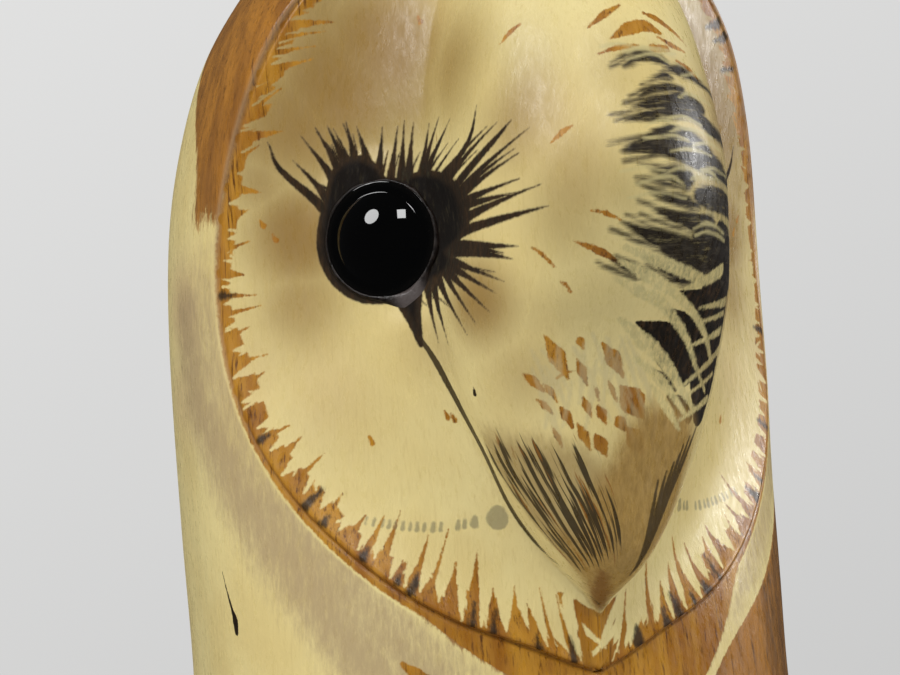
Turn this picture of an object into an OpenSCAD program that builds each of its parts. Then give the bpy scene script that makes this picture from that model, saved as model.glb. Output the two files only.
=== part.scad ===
// Carved and painted wooden barn owl on a turned base, with glass eyes.
// +Z is up, the owl looks along -Y, and its left side is +X.
// The origin is the middle of the underside, on the surface it stands on.

/* [Base] */
// Radius of the turned base at its foot
base_radius = 64; // [63.5:0.5:75]
// Height of the base's top above the table
base_top = 18; // [16:0.5:24]
// Thickness of the felt pad under the base
felt_thickness = 1.5; // [1:0.25:3]

/* [Figure] */
// Height of the eye datum above the table; head and body heights are measured from it
eye_datum = 244; // [240:1:260]
// Height of the glue joint between head and body, from the datum
neck_joint = -82; // [-90:1:-78]
// Diameter of the neck dowel
neck_dowel_diameter = 16; // [10:1:20]
// Length of the neck dowel
neck_dowel_length = 46; // [30:2:50]

/* [Face] */
// How far the facial disc stands in front of the breast at its pointed lower end
disc_lip = 1.4; // [0.5:0.1:2]
// Deepest hollow of each side of the facial disc
disc_hollow = 2; // [0.5:0.1:2.5]

/* [Eyes] */
// Diameter of the glass eye
eye_diameter = 16; // [15.5:0.1:16.5]
// Diameter of the eye where its dome leaves the face
eye_opening = 15.3; // [14:0.1:15.4]
// Radius of the eye's dome
dome_radius = 10.5; // [9:0.25:12]
// Diameter of the socket drilled for the eye
socket_diameter = 17; // [17:0.1:18]
// Diameter of the eye's wire stem
stem_diameter = 1.2; // [0.8:0.1:1.6]

/* [Wings and tail] */
// Thickness of a wing at its middle
wing_thickness = 4; // [3:0.25:5]
// Diameter of the pegs that hold the wings
peg_diameter = 5; // [4:0.5:6]
// Width of the tail
tail_width = 30; // [24:1:34]

/* [Legs] */
// Distance between the middles of the feet
foot_spacing = 36; // [32:1:38]
// Diameter of the rod in each leg
rod_diameter = 5; // [4:0.5:6]
// Length of a front toe without its claw
toe_length = 21; // [18:1:23]

/* [Hidden] */

$fn = 64;
gap = 0.1;         // glue gap between pieces that touch
wing_gap = 0.25;   // glue gap under a wing, where two curved faces meet

// Outlines of the column as [height from the datum, distance from the axis]
half_width = [[-198, 21], [-190, 27], [-178, 33], [-158, 40.5], [-134, 46], [-110, 47.5], [-88, 46.2],
    [-70, 45.5], [-45, 46.5], [-18, 47.2], [0, 46.5], [14, 44], [26, 40], [36, 34], [43, 28], [48, 20],
    [51, 10], [52, 0.5]];
front_depth = [[-198, 21], [-190, 27], [-178, 33.5], [-158, 41], [-134, 45.5], [-110, 45], [-90, 41],
    [-75, 38.5], [-60, 36.5], [-40, 33], [-15, 32.5], [0, 34.5], [14, 40], [26, 42], [36, 37.5],
    [43, 28.5], [48, 19], [51, 9], [52, 0.5]];
back_depth = [[-198, 18], [-190, 22.5], [-178, 27], [-158, 33], [-134, 38.5], [-110, 42], [-88, 43.4],
    [-70, 43], [-30, 40.5], [0, 38], [14, 35.5], [26, 32], [36, 28], [43, 23.8], [48, 17.3], [51, 8.5],
    [52, 0.5]];
roundness = 2.4;   // exponent of the column's section: 2 is an ellipse, more is squarer

// Rim of the facial disc on the unrolled front: [angle from straight up, distance from its middle]
rim_outline = [[0, 47], [25, 49], [50, 54], [75, 55.5], [95, 58], [110, 59], [125, 58.7], [140, 58],
    [155, 58], [168, 58.5], [180, 61.5]];
rim_middle = -4;   // height of the disc's middle from the datum
unroll = 45;       // radius at which the front is unrolled, mm for each radian

// Ridge between the eyes, half an ellipse in section: where it stands, half width and height
ridge_foot = [[-68, 37.6], [-57, 38.2], [-50, 37.8], [-37, 37.3], [-24, 36.6], [0, 36.4], [15, 35.4],
    [24, 34.8], [30, 34], [36, 32.2], [40, 30], [43, 27.8], [48, 18.8]];
ridge_width = [[-58, 0.3], [-55, 2], [-52.5, 4.2], [-49.5, 6.9], [-46, 9.6], [-42, 12.2], [-34, 16.2],
    [-26, 19], [-16, 20.5], [-5, 19.6], [5, 19.2], [14, 18.5], [26, 16], [36, 12], [43, 8], [48, 4]];
ridge_height = [[-58, 0.3], [-56, 2.2], [-54, 5.5], [-51, 9.5], [-47, 11.6], [-40, 13], [-33, 14.8],
    [-26, 16.5], [-20, 19], [-14, 22], [-7, 25], [0, 26.2], [7, 25.4], [14, 23.4], [20, 21.6],
    [28, 17.5], [34, 11.5], [39, 5.5], [43, 1.5], [48, 0.3]];
ridge_fillet = [[-58, 0.6], [-40, 1], [-20, 1.8], [-8, 4], [30, 4]];
disc_step = [[-66, disc_lip], [-40, 0.6], [-10, -0.4], [20, -0.6], [45, -0.3]];
hollow = [[-60, 0.25], [-40, 0.75], [0, 1], [30, 0.75], [45, 0.15]];

// Opening of the right eye on the face, and the direction in which the eye looks
eye_middle = [-25.4, -29.3, -5.3];
eye_turn = 42;     // degrees from straight ahead
eye_sink = sqrt(dome_radius * dome_radius - eye_opening * eye_opening / 4);
eye_back = 4.5;    // from the face to the flat back of the glass

// Edges of the wing as [height from the datum, degrees round the body from the front]
wing_front = [[-208, 156], [-196, 140], [-174, 112], [-154, 92], [-134, 78], [-114, 68], [-100, 66],
    [-92, 74], [-88, 92]];
wing_back = [[-208, 170], [-184, 176], [-144, 174], [-114, 170], [-98, 160], [-90, 134], [-88, 112]];
wing_straight = -164;   // below this height a wing no longer follows the body inwards
peg_heights = [-106, -138];
peg_angle = 118;
peg_depth = 12;

body_bottom = -198;
leg_bottom = 27;   // height of a foot's top above the table
foot_y = -6;
axle_side = foot_spacing / 2;

// ---------- curves and shapes ----------
function clamp(v, low, high) = min(max(v, low), high);
function slope_at(p, i) =
    let(a = max(i - 1, 0), b = min(i + 1, len(p) - 1)) (p[b][1] - p[a][1]) / (p[b][0] - p[a][0]);
function span_of(p, z, i = 0) = (i >= len(p) - 2 || z < p[i + 1][0]) ? i : span_of(p, z, i + 1);

// Smooth curve through the points of an outline
function curve(p, z) =
    let(c = clamp(z, p[0][0], p[len(p) - 1][0]), i = span_of(p, c), h = p[i + 1][0] - p[i][0],
        t = (c - p[i][0]) / h)
    (2 * t^3 - 3 * t^2 + 1) * p[i][1] + (t^3 - 2 * t^2 + t) * h * slope_at(p, i)
    + (3 * t^2 - 2 * t^3) * p[i + 1][1] + (t^3 - t^2) * h * slope_at(p, i + 1);

// Larger of two distances, with the crease between them rounded over k
function soft_max(a, b, k) =
    let(h = clamp(0.5 + 0.5 * (a - b) / k, 0, 1)) b * (1 - h) + a * h + k * h * (1 - h);

// Distance of the plain column from its axis, phi in degrees from the front
function column(phi, z) =
    let(depth = cos(phi) > 0 ? curve(front_depth, z) : curve(back_depth, z),
        side = pow(abs(sin(phi)) / curve(half_width, z), roundness),
        ahead = pow(abs(cos(phi)) / depth, roundness))
    pow(side + ahead, -1 / roundness);

// 0 at the middle of the facial disc, 1 on its rim
function disc_place(phi, z) =
    let(u = abs(phi) * PI / 180 * unroll, w = z - rim_middle, turn = atan2(u, w))
    sqrt(u * u + w * w) / curve(rim_outline, turn);

// Angle of the rim at a height, found by halving
function rim_angle(z, low = 0, high = 110, steps = 18) =
    let(mid = (low + high) / 2)
    steps == 0 ? mid
    : disc_place(mid, z) < 1 ? rim_angle(z, mid, high, steps - 1) : rim_angle(z, low, mid, steps - 1);

// Distance along phi to the line through two points given as [sideways, ahead]
function line_distance(phi, a, b) =
    let(across = a[1] - b[1], along = b[0] - a[0])
    (across * a[0] + along * a[1]) / (across * sin(phi) + along * cos(phi));

// Distance along phi to the ridge's ellipse, or 0 beside it
function ridge_distance(phi, w, h, foot) =
    let(a = pow(sin(phi) / w, 2) + pow(cos(phi) / h, 2), b = -2 * foot * cos(phi) / (h * h),
        c = pow(foot / h, 2) - 1, d = b * b - 4 * a * c)
    (d > 0 && cos(phi) > 0) ? (-b + sqrt(d)) / (2 * a) : 0;

// Distance along phi to the flat round each eye
function eye_flat(phi) =
    (-eye_middle[0] * sin(eye_turn) - eye_middle[1] * cos(eye_turn)) / cos(phi - eye_turn);

// The face with the flat round the eye worked into it
function with_eye_flat(r, phi, z) =
    let(flat = eye_flat(phi),
        away = norm([flat * sin(phi) + eye_middle[0], flat * cos(phi) + eye_middle[1], z - eye_middle[2]]),
        t = clamp((13.5 - away) / 5.3, 0, 1), hold = t * t * (3 - 2 * t))
    r * (1 - hold) + flat * hold;

// One ring of the head: the disc in front, the plain column behind its rim
function head_ring(z) =
    let(edge = rim_angle(z), reach = column(edge, z) + curve(disc_step, z),
        rim = [reach * sin(edge), reach * cos(edge)], foot = curve(ridge_foot, z),
        half = min(curve(ridge_width, z), rim[0] * 0.8 + 0.01), valley = [half, foot],
        start = atan2(half, foot), h = curve(ridge_height, z), fillet = curve(ridge_fillet, z),
        dip = disc_hollow * curve(hollow, z))
    [for (turn = head_angles)
        let(phi = abs(turn), part = clamp((phi - start) / max(edge - start, 0.1), 0, 1),
            flat = phi < start ? foot / cos(phi) : line_distance(phi, valley, rim),
            face = soft_max(ridge_distance(phi, half, h, foot), flat - dip * sin(180 * part), fillet),
            disc = phi < 80 ? with_eye_flat(face, phi, z) : face,
            inside = phi < 100 ? clamp((1.03 - disc_place(phi, z)) / 0.06, 0, 1) : 0,
            r = inside > 0 ? disc * inside + column(phi, z) * (1 - inside) : column(phi, z))
        [r * sin(turn), -r * cos(turn), eye_datum + z]];

// Closed solid through rings of points, all with the same number of points
module skin(rings) {
    n = len(rings[0]);
    last = len(rings) - 1;
    sides = [for (i = [0:last - 1], j = [0:n - 1]) let(k = (j + 1) % n, a = i * n, b = a + n)
        each [[a + j, b + j, b + k], [a + j, b + k, a + k]]];
    polyhedron(points = [for (ring = rings) each ring],
        faces = concat(sides, [[for (j = [0:n - 1]) j]], [[for (j = [0:n - 1]) last * n + n - 1 - j]]));
}

// ---------- head and body ----------
head_front = 52;
head_back = 22;
head_angles = concat([for (i = [0:head_front - 1]) -84 + 168 * i / head_front],
    [for (i = [0:head_back - 1]) 84 + 192 * i / head_back]);
head_levels = concat([for (i = [0:42]) neck_joint + (40 - neck_joint) * i / 43],
    [for (a = [0:15:90]) 40 + 11.9 * sin(a)]);
body_angles = [for (i = [0:59]) i * 6];
body_levels = [for (i = [0:34]) body_bottom + (neck_joint - body_bottom) * pow(i / 34, 1.25)];

// Places a child on the right (-1) or left (1) eye, with its Z along the eye's axis
module on_eye(side) {
    translate([-side * eye_middle[0], eye_middle[1], eye_datum + eye_middle[2]])
        rotate([90, 0, side * eye_turn]) children();
}

module head() {
    color("#d9cd96") difference() {
        skin([for (z = head_levels) head_ring(z)]);
        for (side = [-1, 1]) on_eye(side) {
            translate([0, 0, -eye_back - gap]) cylinder(d = socket_diameter, h = 14);
            translate([0, 0, -18]) cylinder(d = stem_diameter + 0.4, h = 16, $fn = 24);
        }
        neck_socket();
    }
}

module neck_socket() {
    translate([0, 0, eye_datum + neck_joint - neck_dowel_length / 2 - 1])
        cylinder(d = neck_dowel_diameter + 2 * gap, h = neck_dowel_length + 2);
}

module body() {
    color("#d6c88c") difference() {
        skin([for (z = body_levels)
            [for (turn = body_angles) let(r = column(min(turn, 360 - turn), z))
                [r * sin(turn), -r * cos(turn), eye_datum + z]]]);
        neck_socket();
        for (side = [-1, 1]) {
            translate([side * axle_side, foot_y, eye_datum + body_bottom - 1])
                cylinder(d = rod_diameter + 2 * gap, h = 22);
            for (z = peg_heights) wing_peg(side, z, gap);
        }
        tail_tenon(gap);
    }
}

module neck_dowel() {
    color("#c89b62") translate([0, 0, eye_datum + neck_joint - neck_dowel_length / 2])
        cylinder(d = neck_dowel_diameter, h = neck_dowel_length);
}

// ---------- eyes ----------
module glass(slack) {
    intersection() {
        translate([0, 0, -eye_sink]) sphere(r = dome_radius + slack);
        translate([0, 0, -eye_back]) cylinder(d = eye_diameter + 2 * slack, h = 12);
    }
}

module eye(side) {
    color("#08080a") on_eye(side) glass(0);
}

module eye_stem(side) {
    color("#8a8a8a") on_eye(side) translate([0, 0, -17])
        cylinder(d = stem_diameter, h = 17 - eye_back, $fn = 24);
}

module eye_putty(side) {
    color("#453a40") on_eye(side) difference() {
        translate([0, 0, -1.6]) cylinder(d = socket_diameter - gap, h = 1.6);
        glass(gap / 2);
    }
}

module right_eye() { eye(-1); }
module left_eye() { eye(1); }
module right_eye_stem() { eye_stem(-1); }
module left_eye_stem() { eye_stem(1); }
module right_eye_putty() { eye_putty(-1); }
module left_eye_putty() { eye_putty(1); }

// ---------- wings ----------
// Inner face of a wing: it follows the body, then hangs almost straight down
function wing_inside(phi, z) = wing_gap + (z > wing_straight ? column(phi, z)
    : max(column(phi, z), column(phi, wing_straight) - 0.22 * (wing_straight - z)));

wing_steps = 14;
wing_levels = [for (i = [0:26]) -208 + 120 * i / 26];

function wing_ring(side, z) =
    let(a = curve(wing_front, z), b = curve(wing_back, z), tip = min(1, (z + 214) / 40, (-84 - z) / 14))
    concat(
        [for (i = [0:wing_steps]) let(s = i / wing_steps, phi = a + (b - a) * s,
            r = wing_inside(phi, z) + 0.8 + (wing_thickness - 0.8) * sqrt(max(tip, 0)) * sin(180 * s))
            [side * r * sin(phi), -r * cos(phi), eye_datum + z]],
        [for (i = [wing_steps:-1:0]) let(phi = a + (b - a) * i / wing_steps, r = wing_inside(phi, z))
            [side * r * sin(phi), -r * cos(phi), eye_datum + z]]);

module wing_peg(side, z, slack) {
    r = wing_inside(peg_angle, z) + 1.5;
    rotate([0, 0, side * peg_angle - 90]) translate([r - peg_depth - slack, 0, eye_datum + z])
        rotate([0, 90, 0]) cylinder(d = peg_diameter + 2 * slack, h = peg_depth + 2 * slack, $fn = 32);
}

module wing(side) {
    color("#a9652a") difference() {
        if (side > 0) skin([for (z = wing_levels) wing_ring(1, z)]);
        else mirror([1, 0, 0]) skin([for (z = wing_levels) wing_ring(1, z)]);
        for (z = peg_heights) wing_peg(side, z, gap);
    }
}

module right_wing() { wing(-1); }
module left_wing() { wing(1); }

module wing_pegs() {
    color("#c89b62") for (side = [-1, 1], z = peg_heights) wing_peg(side, z, 0);
}

// ---------- tail ----------
tail_y = 11;
tail_thickness = 5;

module tail_tenon(slack) {
    translate([-tail_width / 3 - slack, tail_y - tail_thickness / 2 - slack, eye_datum + body_bottom - 1])
        cube([tail_width * 2 / 3 + 2 * slack, tail_thickness + 2 * slack, 15 + slack]);
}

module tail() {
    top = eye_datum + body_bottom - gap;
    color("#b07a3a") {
        intersection() {
            tail_tenon(0);
            translate([-50, -50, top]) cube([100, 100, 40]);
        }
        // blade with a rounded lower end
        translate([0, tail_y + tail_thickness / 2, 0]) rotate([90, 0, 0]) linear_extrude(tail_thickness)
            intersection() {
                translate([0, top]) scale([1, 1.5]) circle(r = tail_width / 2 + 1);
                translate([-tail_width / 2, base_top + 3]) square([tail_width, top - base_top - 3]);
            }
    }
}

// ---------- legs and feet ----------
module rod_hole(side) {
    translate([side * axle_side, foot_y, 0]) cylinder(d = rod_diameter + 2 * gap, h = 80, $fn = 32);
}

module leg(side) {
    top = eye_datum + body_bottom - gap;
    color("#d6c88c") difference() {
        translate([side * axle_side, foot_y, 0]) skin([for (i = [0:6])
            let(s = i / 6, r = 7 + 3.5 * s * s, z = leg_bottom + gap + (top - leg_bottom - gap) * s)
            [for (a = [0:18:342]) [r * cos(a), 1.1 * r * sin(a), z]]]);
        rod_hole(side);
    }
}

// A toe or claw along +X: rings round a path of [distance, height, radius]
module digit(path) {
    skin([for (p = path) [for (a = [0:36:324]) [p[0], p[2] * cos(a), p[1] + p[2] * sin(a)]]]);
}

toe_angles = [-128, -90, -52, 82];
toe_scales = [0.86, 1, 0.86, 0.6];
toe_radius = 3.6;

module on_toe(side, i) {
    translate([side * axle_side, foot_y, base_top]) rotate([0, 0, toe_angles[i] + side * 6]) children();
}

module toe(length) {
    digit([for (i = [0:8]) let(s = i / 8, r = toe_radius * (1 - 0.3 * s) * (1 + 0.1 * cos(720 * s)))
        [length * s, gap + r + 1.6 * (1 - s) * s, r]]);
}

module claw(length) {
    digit([for (i = [0:6]) let(s = i / 6, r = 1.9 * (1 - 0.88 * s))
        [length + gap + 6.5 * sin(75 * s), gap + r + 1.9 * cos(90 * s) * (1 - s) + 0.1, r]]);
}

module foot(side) {
    color("#8f7458") difference() {
        union() {
            translate([side * axle_side, foot_y, base_top + gap])
                cylinder(r1 = 7.5, r2 = 6.2, h = leg_bottom - base_top - gap);
            for (i = [0:3]) on_toe(side, i) toe(toe_length * toe_scales[i]);
        }
        rod_hole(side);
    }
}

module right_leg() { leg(-1); }
module left_leg() { leg(1); }
module right_foot() { foot(-1); }
module left_foot() { foot(1); }

module talons() {
    color("#1d1a18") for (side = [-1, 1], i = [0:3]) on_toe(side, i) claw(toe_length * toe_scales[i]);
}

// ---------- fasteners ----------
recess_top = 8.5;    // height of the nut recess's ceiling above the table
rod_start = felt_thickness + 1;

module at_rods() {
    for (side = [-1, 1]) translate([side * axle_side, foot_y, 0]) children();
}

module leg_rods() {
    color("#b5b5b5") at_rods() translate([0, 0, rod_start])
        cylinder(d = rod_diameter, h = eye_datum + body_bottom + 20 - rod_start, $fn = 32);
}

module rod_washers() {
    color("#b5b5b5") at_rods() translate([0, 0, recess_top - 1]) difference() {
        cylinder(d = 12, h = 1 - gap / 2);
        translate([0, 0, -1]) cylinder(d = rod_diameter + 0.4, h = 3, $fn = 32);
    }
}

module rod_nuts() {
    color("#b5b5b5") at_rods() translate([0, 0, recess_top - 5]) difference() {
        cylinder(d = 9.2, h = 3.9, $fn = 6);
        translate([0, 0, -1]) cylinder(d = rod_diameter + 0.02, h = 6, $fn = 32);
    }
}

// ---------- base ----------
module base() {
    r = base_radius;
    t = base_top;
    f = felt_thickness;
    // foot, hollow, and a rounded upper edge
    profile = concat(
        [[0, f], [r - 1.2, f], [r, f + 1.2], [r, f + 4]],
        [for (a = [0:15:90]) [r - 4.5 + 3 * cos(a), f + 4.5 + 3 * sin(a)]],
        [[r - 6, f + 8]],
        [for (a = [0:15:90]) [r - 11 + 4.5 * cos(a), t - 4.5 + 4.5 * sin(a)]],
        [[0, t]]);
    color("#7a4a22") difference() {
        rotate_extrude($fn = 128) polygon(profile);
        at_rods() {
            translate([0, 0, -1]) cylinder(d = 14, h = recess_top + 1);
            cylinder(d = rod_diameter + 2 * gap, h = 40, $fn = 32);
        }
    }
}

module felt_pad() {
    color("#24452f") cylinder(r = base_radius - 2, h = felt_thickness, $fn = 128);
}

head();
body();
neck_dowel();
right_eye();
left_eye();
right_eye_stem();
left_eye_stem();
right_eye_putty();
left_eye_putty();
right_wing();
left_wing();
wing_pegs();
tail();
right_leg();
left_leg();
right_foot();
left_foot();
talons();
leg_rods();
rod_washers();
rod_nuts();
base();
felt_pad();
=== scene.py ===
import math
import bpy
import numpy as np
from mathutils import Matrix, Vector


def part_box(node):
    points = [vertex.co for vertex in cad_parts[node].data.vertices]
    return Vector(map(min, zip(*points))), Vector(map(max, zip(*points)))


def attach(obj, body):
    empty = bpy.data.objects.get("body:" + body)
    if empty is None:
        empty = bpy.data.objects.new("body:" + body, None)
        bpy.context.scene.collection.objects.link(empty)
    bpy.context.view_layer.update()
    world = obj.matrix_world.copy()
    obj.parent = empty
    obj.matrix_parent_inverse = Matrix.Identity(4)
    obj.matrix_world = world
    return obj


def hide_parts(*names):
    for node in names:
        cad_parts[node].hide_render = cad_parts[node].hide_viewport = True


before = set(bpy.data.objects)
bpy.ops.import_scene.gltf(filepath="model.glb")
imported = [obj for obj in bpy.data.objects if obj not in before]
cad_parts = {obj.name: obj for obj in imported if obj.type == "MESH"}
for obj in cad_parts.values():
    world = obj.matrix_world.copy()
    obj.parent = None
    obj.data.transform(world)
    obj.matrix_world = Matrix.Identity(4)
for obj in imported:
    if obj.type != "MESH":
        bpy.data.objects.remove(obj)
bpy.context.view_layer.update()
random = np.random.default_rng(7)

# The carving's measures, as in the CAD: millimetres, heights from the eye datum, angles in
# degrees round the axis from the front, positive towards the owl's left.
# Outline of the plain column: half its width, its depth in front and its depth behind, by height.
HALF_WIDTH = [(-198, 21), (-190, 27), (-178, 33), (-158, 40.5), (-134, 46), (-110, 47.5), (-88, 46.2),
              (-70, 45.5), (-45, 46.5), (-18, 47.2), (0, 46.5), (14, 44), (26, 40), (36, 34), (43, 28),
              (48, 20), (51, 10), (52, 0.5)]
FRONT_DEPTH = [(-198, 21), (-190, 27), (-178, 33.5), (-158, 41), (-134, 45.5), (-110, 45), (-90, 41),
               (-75, 38.5), (-60, 36.5), (-40, 33), (-15, 32.5), (0, 34.5), (14, 40), (26, 42), (36, 37.5),
               (43, 28.5), (48, 19), (51, 9), (52, 0.5)]
BACK_DEPTH = [(-198, 18), (-190, 22.5), (-178, 27), (-158, 33), (-134, 38.5), (-110, 42), (-88, 43.4),
              (-70, 43), (-30, 40.5), (0, 38), (14, 35.5), (26, 32), (36, 28), (43, 23.8), (48, 17.3),
              (51, 8.5), (52, 0.5)]
ROUNDNESS = 2.4                            # exponent of the column's section: 2 is an ellipse
# The facial disc's rim: distance from its middle, by the angle from straight up on the unrolled front.
RIM = [(0, 47), (25, 49), (50, 54), (75, 55.5), (95, 58), (110, 59), (125, 58.7), (140, 58), (155, 58),
       (168, 58.5), (180, 61.5)]
RIM_MIDDLE = -4                            # height of the disc's middle
UNROLL = 45                                # radius at which the front is unrolled
# The ridge between the eyes, by height: distance of its foot from the axis, half its width, how far
# it stands out from its foot, and the fillet where it meets the face.
RIDGE_FOOT = [(-68, 37.6), (-57, 38.2), (-50, 37.8), (-37, 37.3), (-24, 36.6), (0, 36.4), (15, 35.4),
              (24, 34.8), (30, 34), (36, 32.2), (40, 30), (43, 27.8), (48, 18.8)]
RIDGE_WIDTH = [(-58, 0.3), (-55, 2), (-52.5, 4.2), (-49.5, 6.9), (-46, 9.6), (-42, 12.2), (-34, 16.2),
               (-26, 19), (-16, 20.5), (-5, 19.6), (5, 19.2), (14, 18.5), (26, 16), (36, 12), (43, 8),
               (48, 4)]
RIDGE_HEIGHT = [(-58, 0.3), (-56, 2.2), (-54, 5.5), (-51, 9.5), (-47, 11.6), (-40, 13), (-33, 14.8),
                (-26, 16.5), (-20, 19), (-14, 22), (-7, 25), (0, 26.2), (7, 25.4), (14, 23.4), (20, 21.6),
                (28, 17.5), (34, 11.5), (39, 5.5), (43, 1.5), (48, 0.3)]
RIDGE_FILLET = [(-58, 0.6), (-40, 1), (-20, 1.8), (-8, 4), (30, 4)]
# How far the disc stands out from the column at its rim, and how deep it is hollowed.
DISC_STEP = [(-66, 1.4), (-40, 0.6), (-10, -0.4), (20, -0.6), (45, -0.3)]
HOLLOW = [(-60, 0.5), (-40, 1.5), (0, 2), (30, 1.5), (45, 0.3)]
EYE_SIDE, EYE_AHEAD, EYE_HEIGHT = 25.4, 29.3, -5.3      # middle of the eye's opening
EYE_TURN = 42                              # degrees outwards that the eye looks
EYE_OPENING, DOME_RADIUS = 15.3, 10.5
EYE_LEVEL = (8.2, 13.5)                    # the wood round the eye is flat within, the face's own beyond
SOCKET = (6.6, 7.4)                        # the wall of the eye's socket, which the glass hides
SOCKET_DEPTH = 2
GROOVE_DEPTH, GROOVE_WIDTH = 0.35, 0.45    # the fine groove along the disc's rim

HEAD_LOW, HEAD_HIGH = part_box("head")
DATUM = HEAD_HIGH.z * 1000 - 51.9          # height of the eye datum above the table
JOINT = HEAD_LOW.z * 1000 - DATUM          # glue joint between head and body


def curve(points, z):
    """Smooth curve through the points of an outline."""
    p = np.array(points, float)
    z = np.clip(z, p[0, 0], p[-1, 0])
    i = np.clip(np.searchsorted(p[:, 0], z, side="right") - 1, 0, len(p) - 2)
    before, after = np.maximum(np.arange(len(p)) - 1, 0), np.minimum(np.arange(len(p)) + 1, len(p) - 1)
    slope = (p[after, 1] - p[before, 1]) / (p[after, 0] - p[before, 0])
    h = p[i + 1, 0] - p[i, 0]
    t = (z - p[i, 0]) / h
    return ((2 * t**3 - 3 * t**2 + 1) * p[i, 1] + (t**3 - 2 * t**2 + t) * h * slope[i]
            + (3 * t**2 - 2 * t**3) * p[i + 1, 1] + (t**3 - t**2) * h * slope[i + 1])


def step(low, high, v):
    """0 below low, 1 above high, smooth between."""
    t = np.clip((v - low) / (high - low), 0, 1)
    return t * t * (3 - 2 * t)


def signed(phi):
    """An angle that runs on past 180 degrees, as -180 to 180 from the front."""
    return np.where(phi > 180, phi - 360, phi)


def round_turns(count):
    """So many equal steps round a circle, in radians."""
    return np.linspace(0, 2 * math.pi, count + 1)[:-1]


def soft_max(a, b, k):
    """The larger of two surfaces, blended over k mm where they cross."""
    h = np.clip(0.5 + 0.5 * (a - b) / k, 0, 1)
    return b * (1 - h) + a * h + k * h * (1 - h)


def column(phi, z):
    """Distance of the plain column from its axis."""
    s, c = np.sin(np.radians(phi)), np.cos(np.radians(phi))
    depth = np.where(c > 0, curve(FRONT_DEPTH, z), curve(BACK_DEPTH, z))
    across = np.abs(s / curve(HALF_WIDTH, z)) ** ROUNDNESS
    return (across + np.abs(c / depth) ** ROUNDNESS) ** (-1 / ROUNDNESS)


def disc_polar(phi, z):
    """Angle round the disc's middle from straight up, and distance from it on the unrolled front."""
    u, w = np.abs(np.radians(phi)) * UNROLL, z - RIM_MIDDLE
    return np.degrees(np.arctan2(u, w)), np.hypot(u, w)


def disc_edge(phi, z):
    """Distance inside the disc's rim in mm, negative outside it."""
    turn, far = disc_polar(phi, z)
    return curve(RIM, turn) - far


def rim_angle(z):
    """Angle from the front at which the disc's rim lies, at each height, found by halving."""
    low, high = np.zeros_like(z), np.full_like(z, 110.0)
    for _ in range(24):
        mid = (low + high) / 2
        inside = disc_edge(mid, z) > 0
        low, high = np.where(inside, mid, low), np.where(inside, high, mid)
    return (low + high) / 2


def head_radius(phi, z):
    """Distance of the head's surface from the axis: the disc in front, the column behind its rim."""
    phi = np.abs(phi)
    s, c = np.sin(np.radians(phi)), np.cos(np.radians(phi))
    plain = column(phi, z)
    # The face in section: straight from the ridge's foot to the rim, hollowed between them.
    edge = rim_angle(z)
    reach = column(edge, z) + curve(DISC_STEP, z)
    rim_x, rim_y = reach * np.sin(np.radians(edge)), reach * np.cos(np.radians(edge))
    foot, height = curve(RIDGE_FOOT, z), curve(RIDGE_HEIGHT, z)
    half = np.minimum(curve(RIDGE_WIDTH, z), rim_x * 0.8 + 0.01)
    start = np.degrees(np.arctan2(half, foot))
    across, along = foot - rim_y, rim_x - half
    bearing = across * s + along * c
    flat = np.where(phi < start, foot / np.maximum(c, 0.1),
                    (across * half + along * foot) / np.where(np.abs(bearing) < 1e-6, 1e-6, bearing))
    part = np.clip((phi - start) / np.maximum(edge - start, 0.1), 0, 1)
    flat = flat - curve(HOLLOW, z) * np.sin(np.pi * part)
    # The ridge is half an ellipse on that section.
    a = (s / half) ** 2 + (c / height) ** 2
    b = -2 * foot * c / height**2
    d = b * b - 4 * a * ((foot / height) ** 2 - 1)
    ridge = np.where((d > 0) & (c > 0), (-b + np.sqrt(np.maximum(d, 0))) / (2 * a), 0)
    disc = soft_max(ridge, flat, curve(RIDGE_FILLET, z))
    # Round the eye the wood is level, square to the way the eye looks.
    turn = np.radians(EYE_TURN)
    level = EYE_SIDE * np.sin(turn) + EYE_AHEAD * np.cos(turn)
    level = level / np.maximum(np.cos(np.radians(phi) - turn), 0.2)
    away = np.sqrt((level * s - EYE_SIDE) ** 2 + (level * c - EYE_AHEAD) ** 2 + (z - EYE_HEIGHT) ** 2)
    disc = disc + (level - disc) * step(-EYE_LEVEL[1], -EYE_LEVEL[0], -away)
    disc = disc - SOCKET_DEPTH * step(-SOCKET[1], -SOCKET[0], -away)
    inside = disc_edge(phi, z)
    within = np.where(phi < 100, step(-0.25, 0.25, inside), 0)
    groove = GROOVE_DEPTH * np.exp(-(inside / GROOVE_WIDTH) ** 2) * (phi < 105)
    return disc * within + plain * (1 - within) - groove


def on_surface(radius, phi, z):
    """Point in mm in the owl's frame, heights from the datum."""
    r = radius(phi, z)
    a = np.radians(phi)
    return np.stack([r * np.sin(a), -r * np.cos(a), z + 0 * r], -1)


# --- Meshes ---
def mesh_piece(name, points, faces, replaced):
    """Object of the given points in mm from the datum; it rides on the one body there is."""
    mesh = bpy.data.meshes.new(name)
    at = (np.asarray(points, float).reshape(-1, 3) + (0, 0, DATUM)) / 1000
    faces = np.asarray(faces)
    n, k = faces.shape
    mesh.vertices.add(len(at))
    mesh.vertices.foreach_set("co", at.astype(np.float32).ravel())
    mesh.loops.add(n * k)
    mesh.loops.foreach_set("vertex_index", faces.astype(np.int32).ravel())
    mesh.polygons.add(n)
    mesh.polygons.foreach_set("loop_start", np.arange(0, n * k, k, dtype=np.int32))
    mesh.update(calc_edges=True)
    mesh.validate()
    mesh.shade_smooth()
    piece = bpy.data.objects.new(name, mesh)
    bpy.context.scene.collection.objects.link(piece)
    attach(piece, "root")
    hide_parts(*replaced)
    return piece


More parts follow.
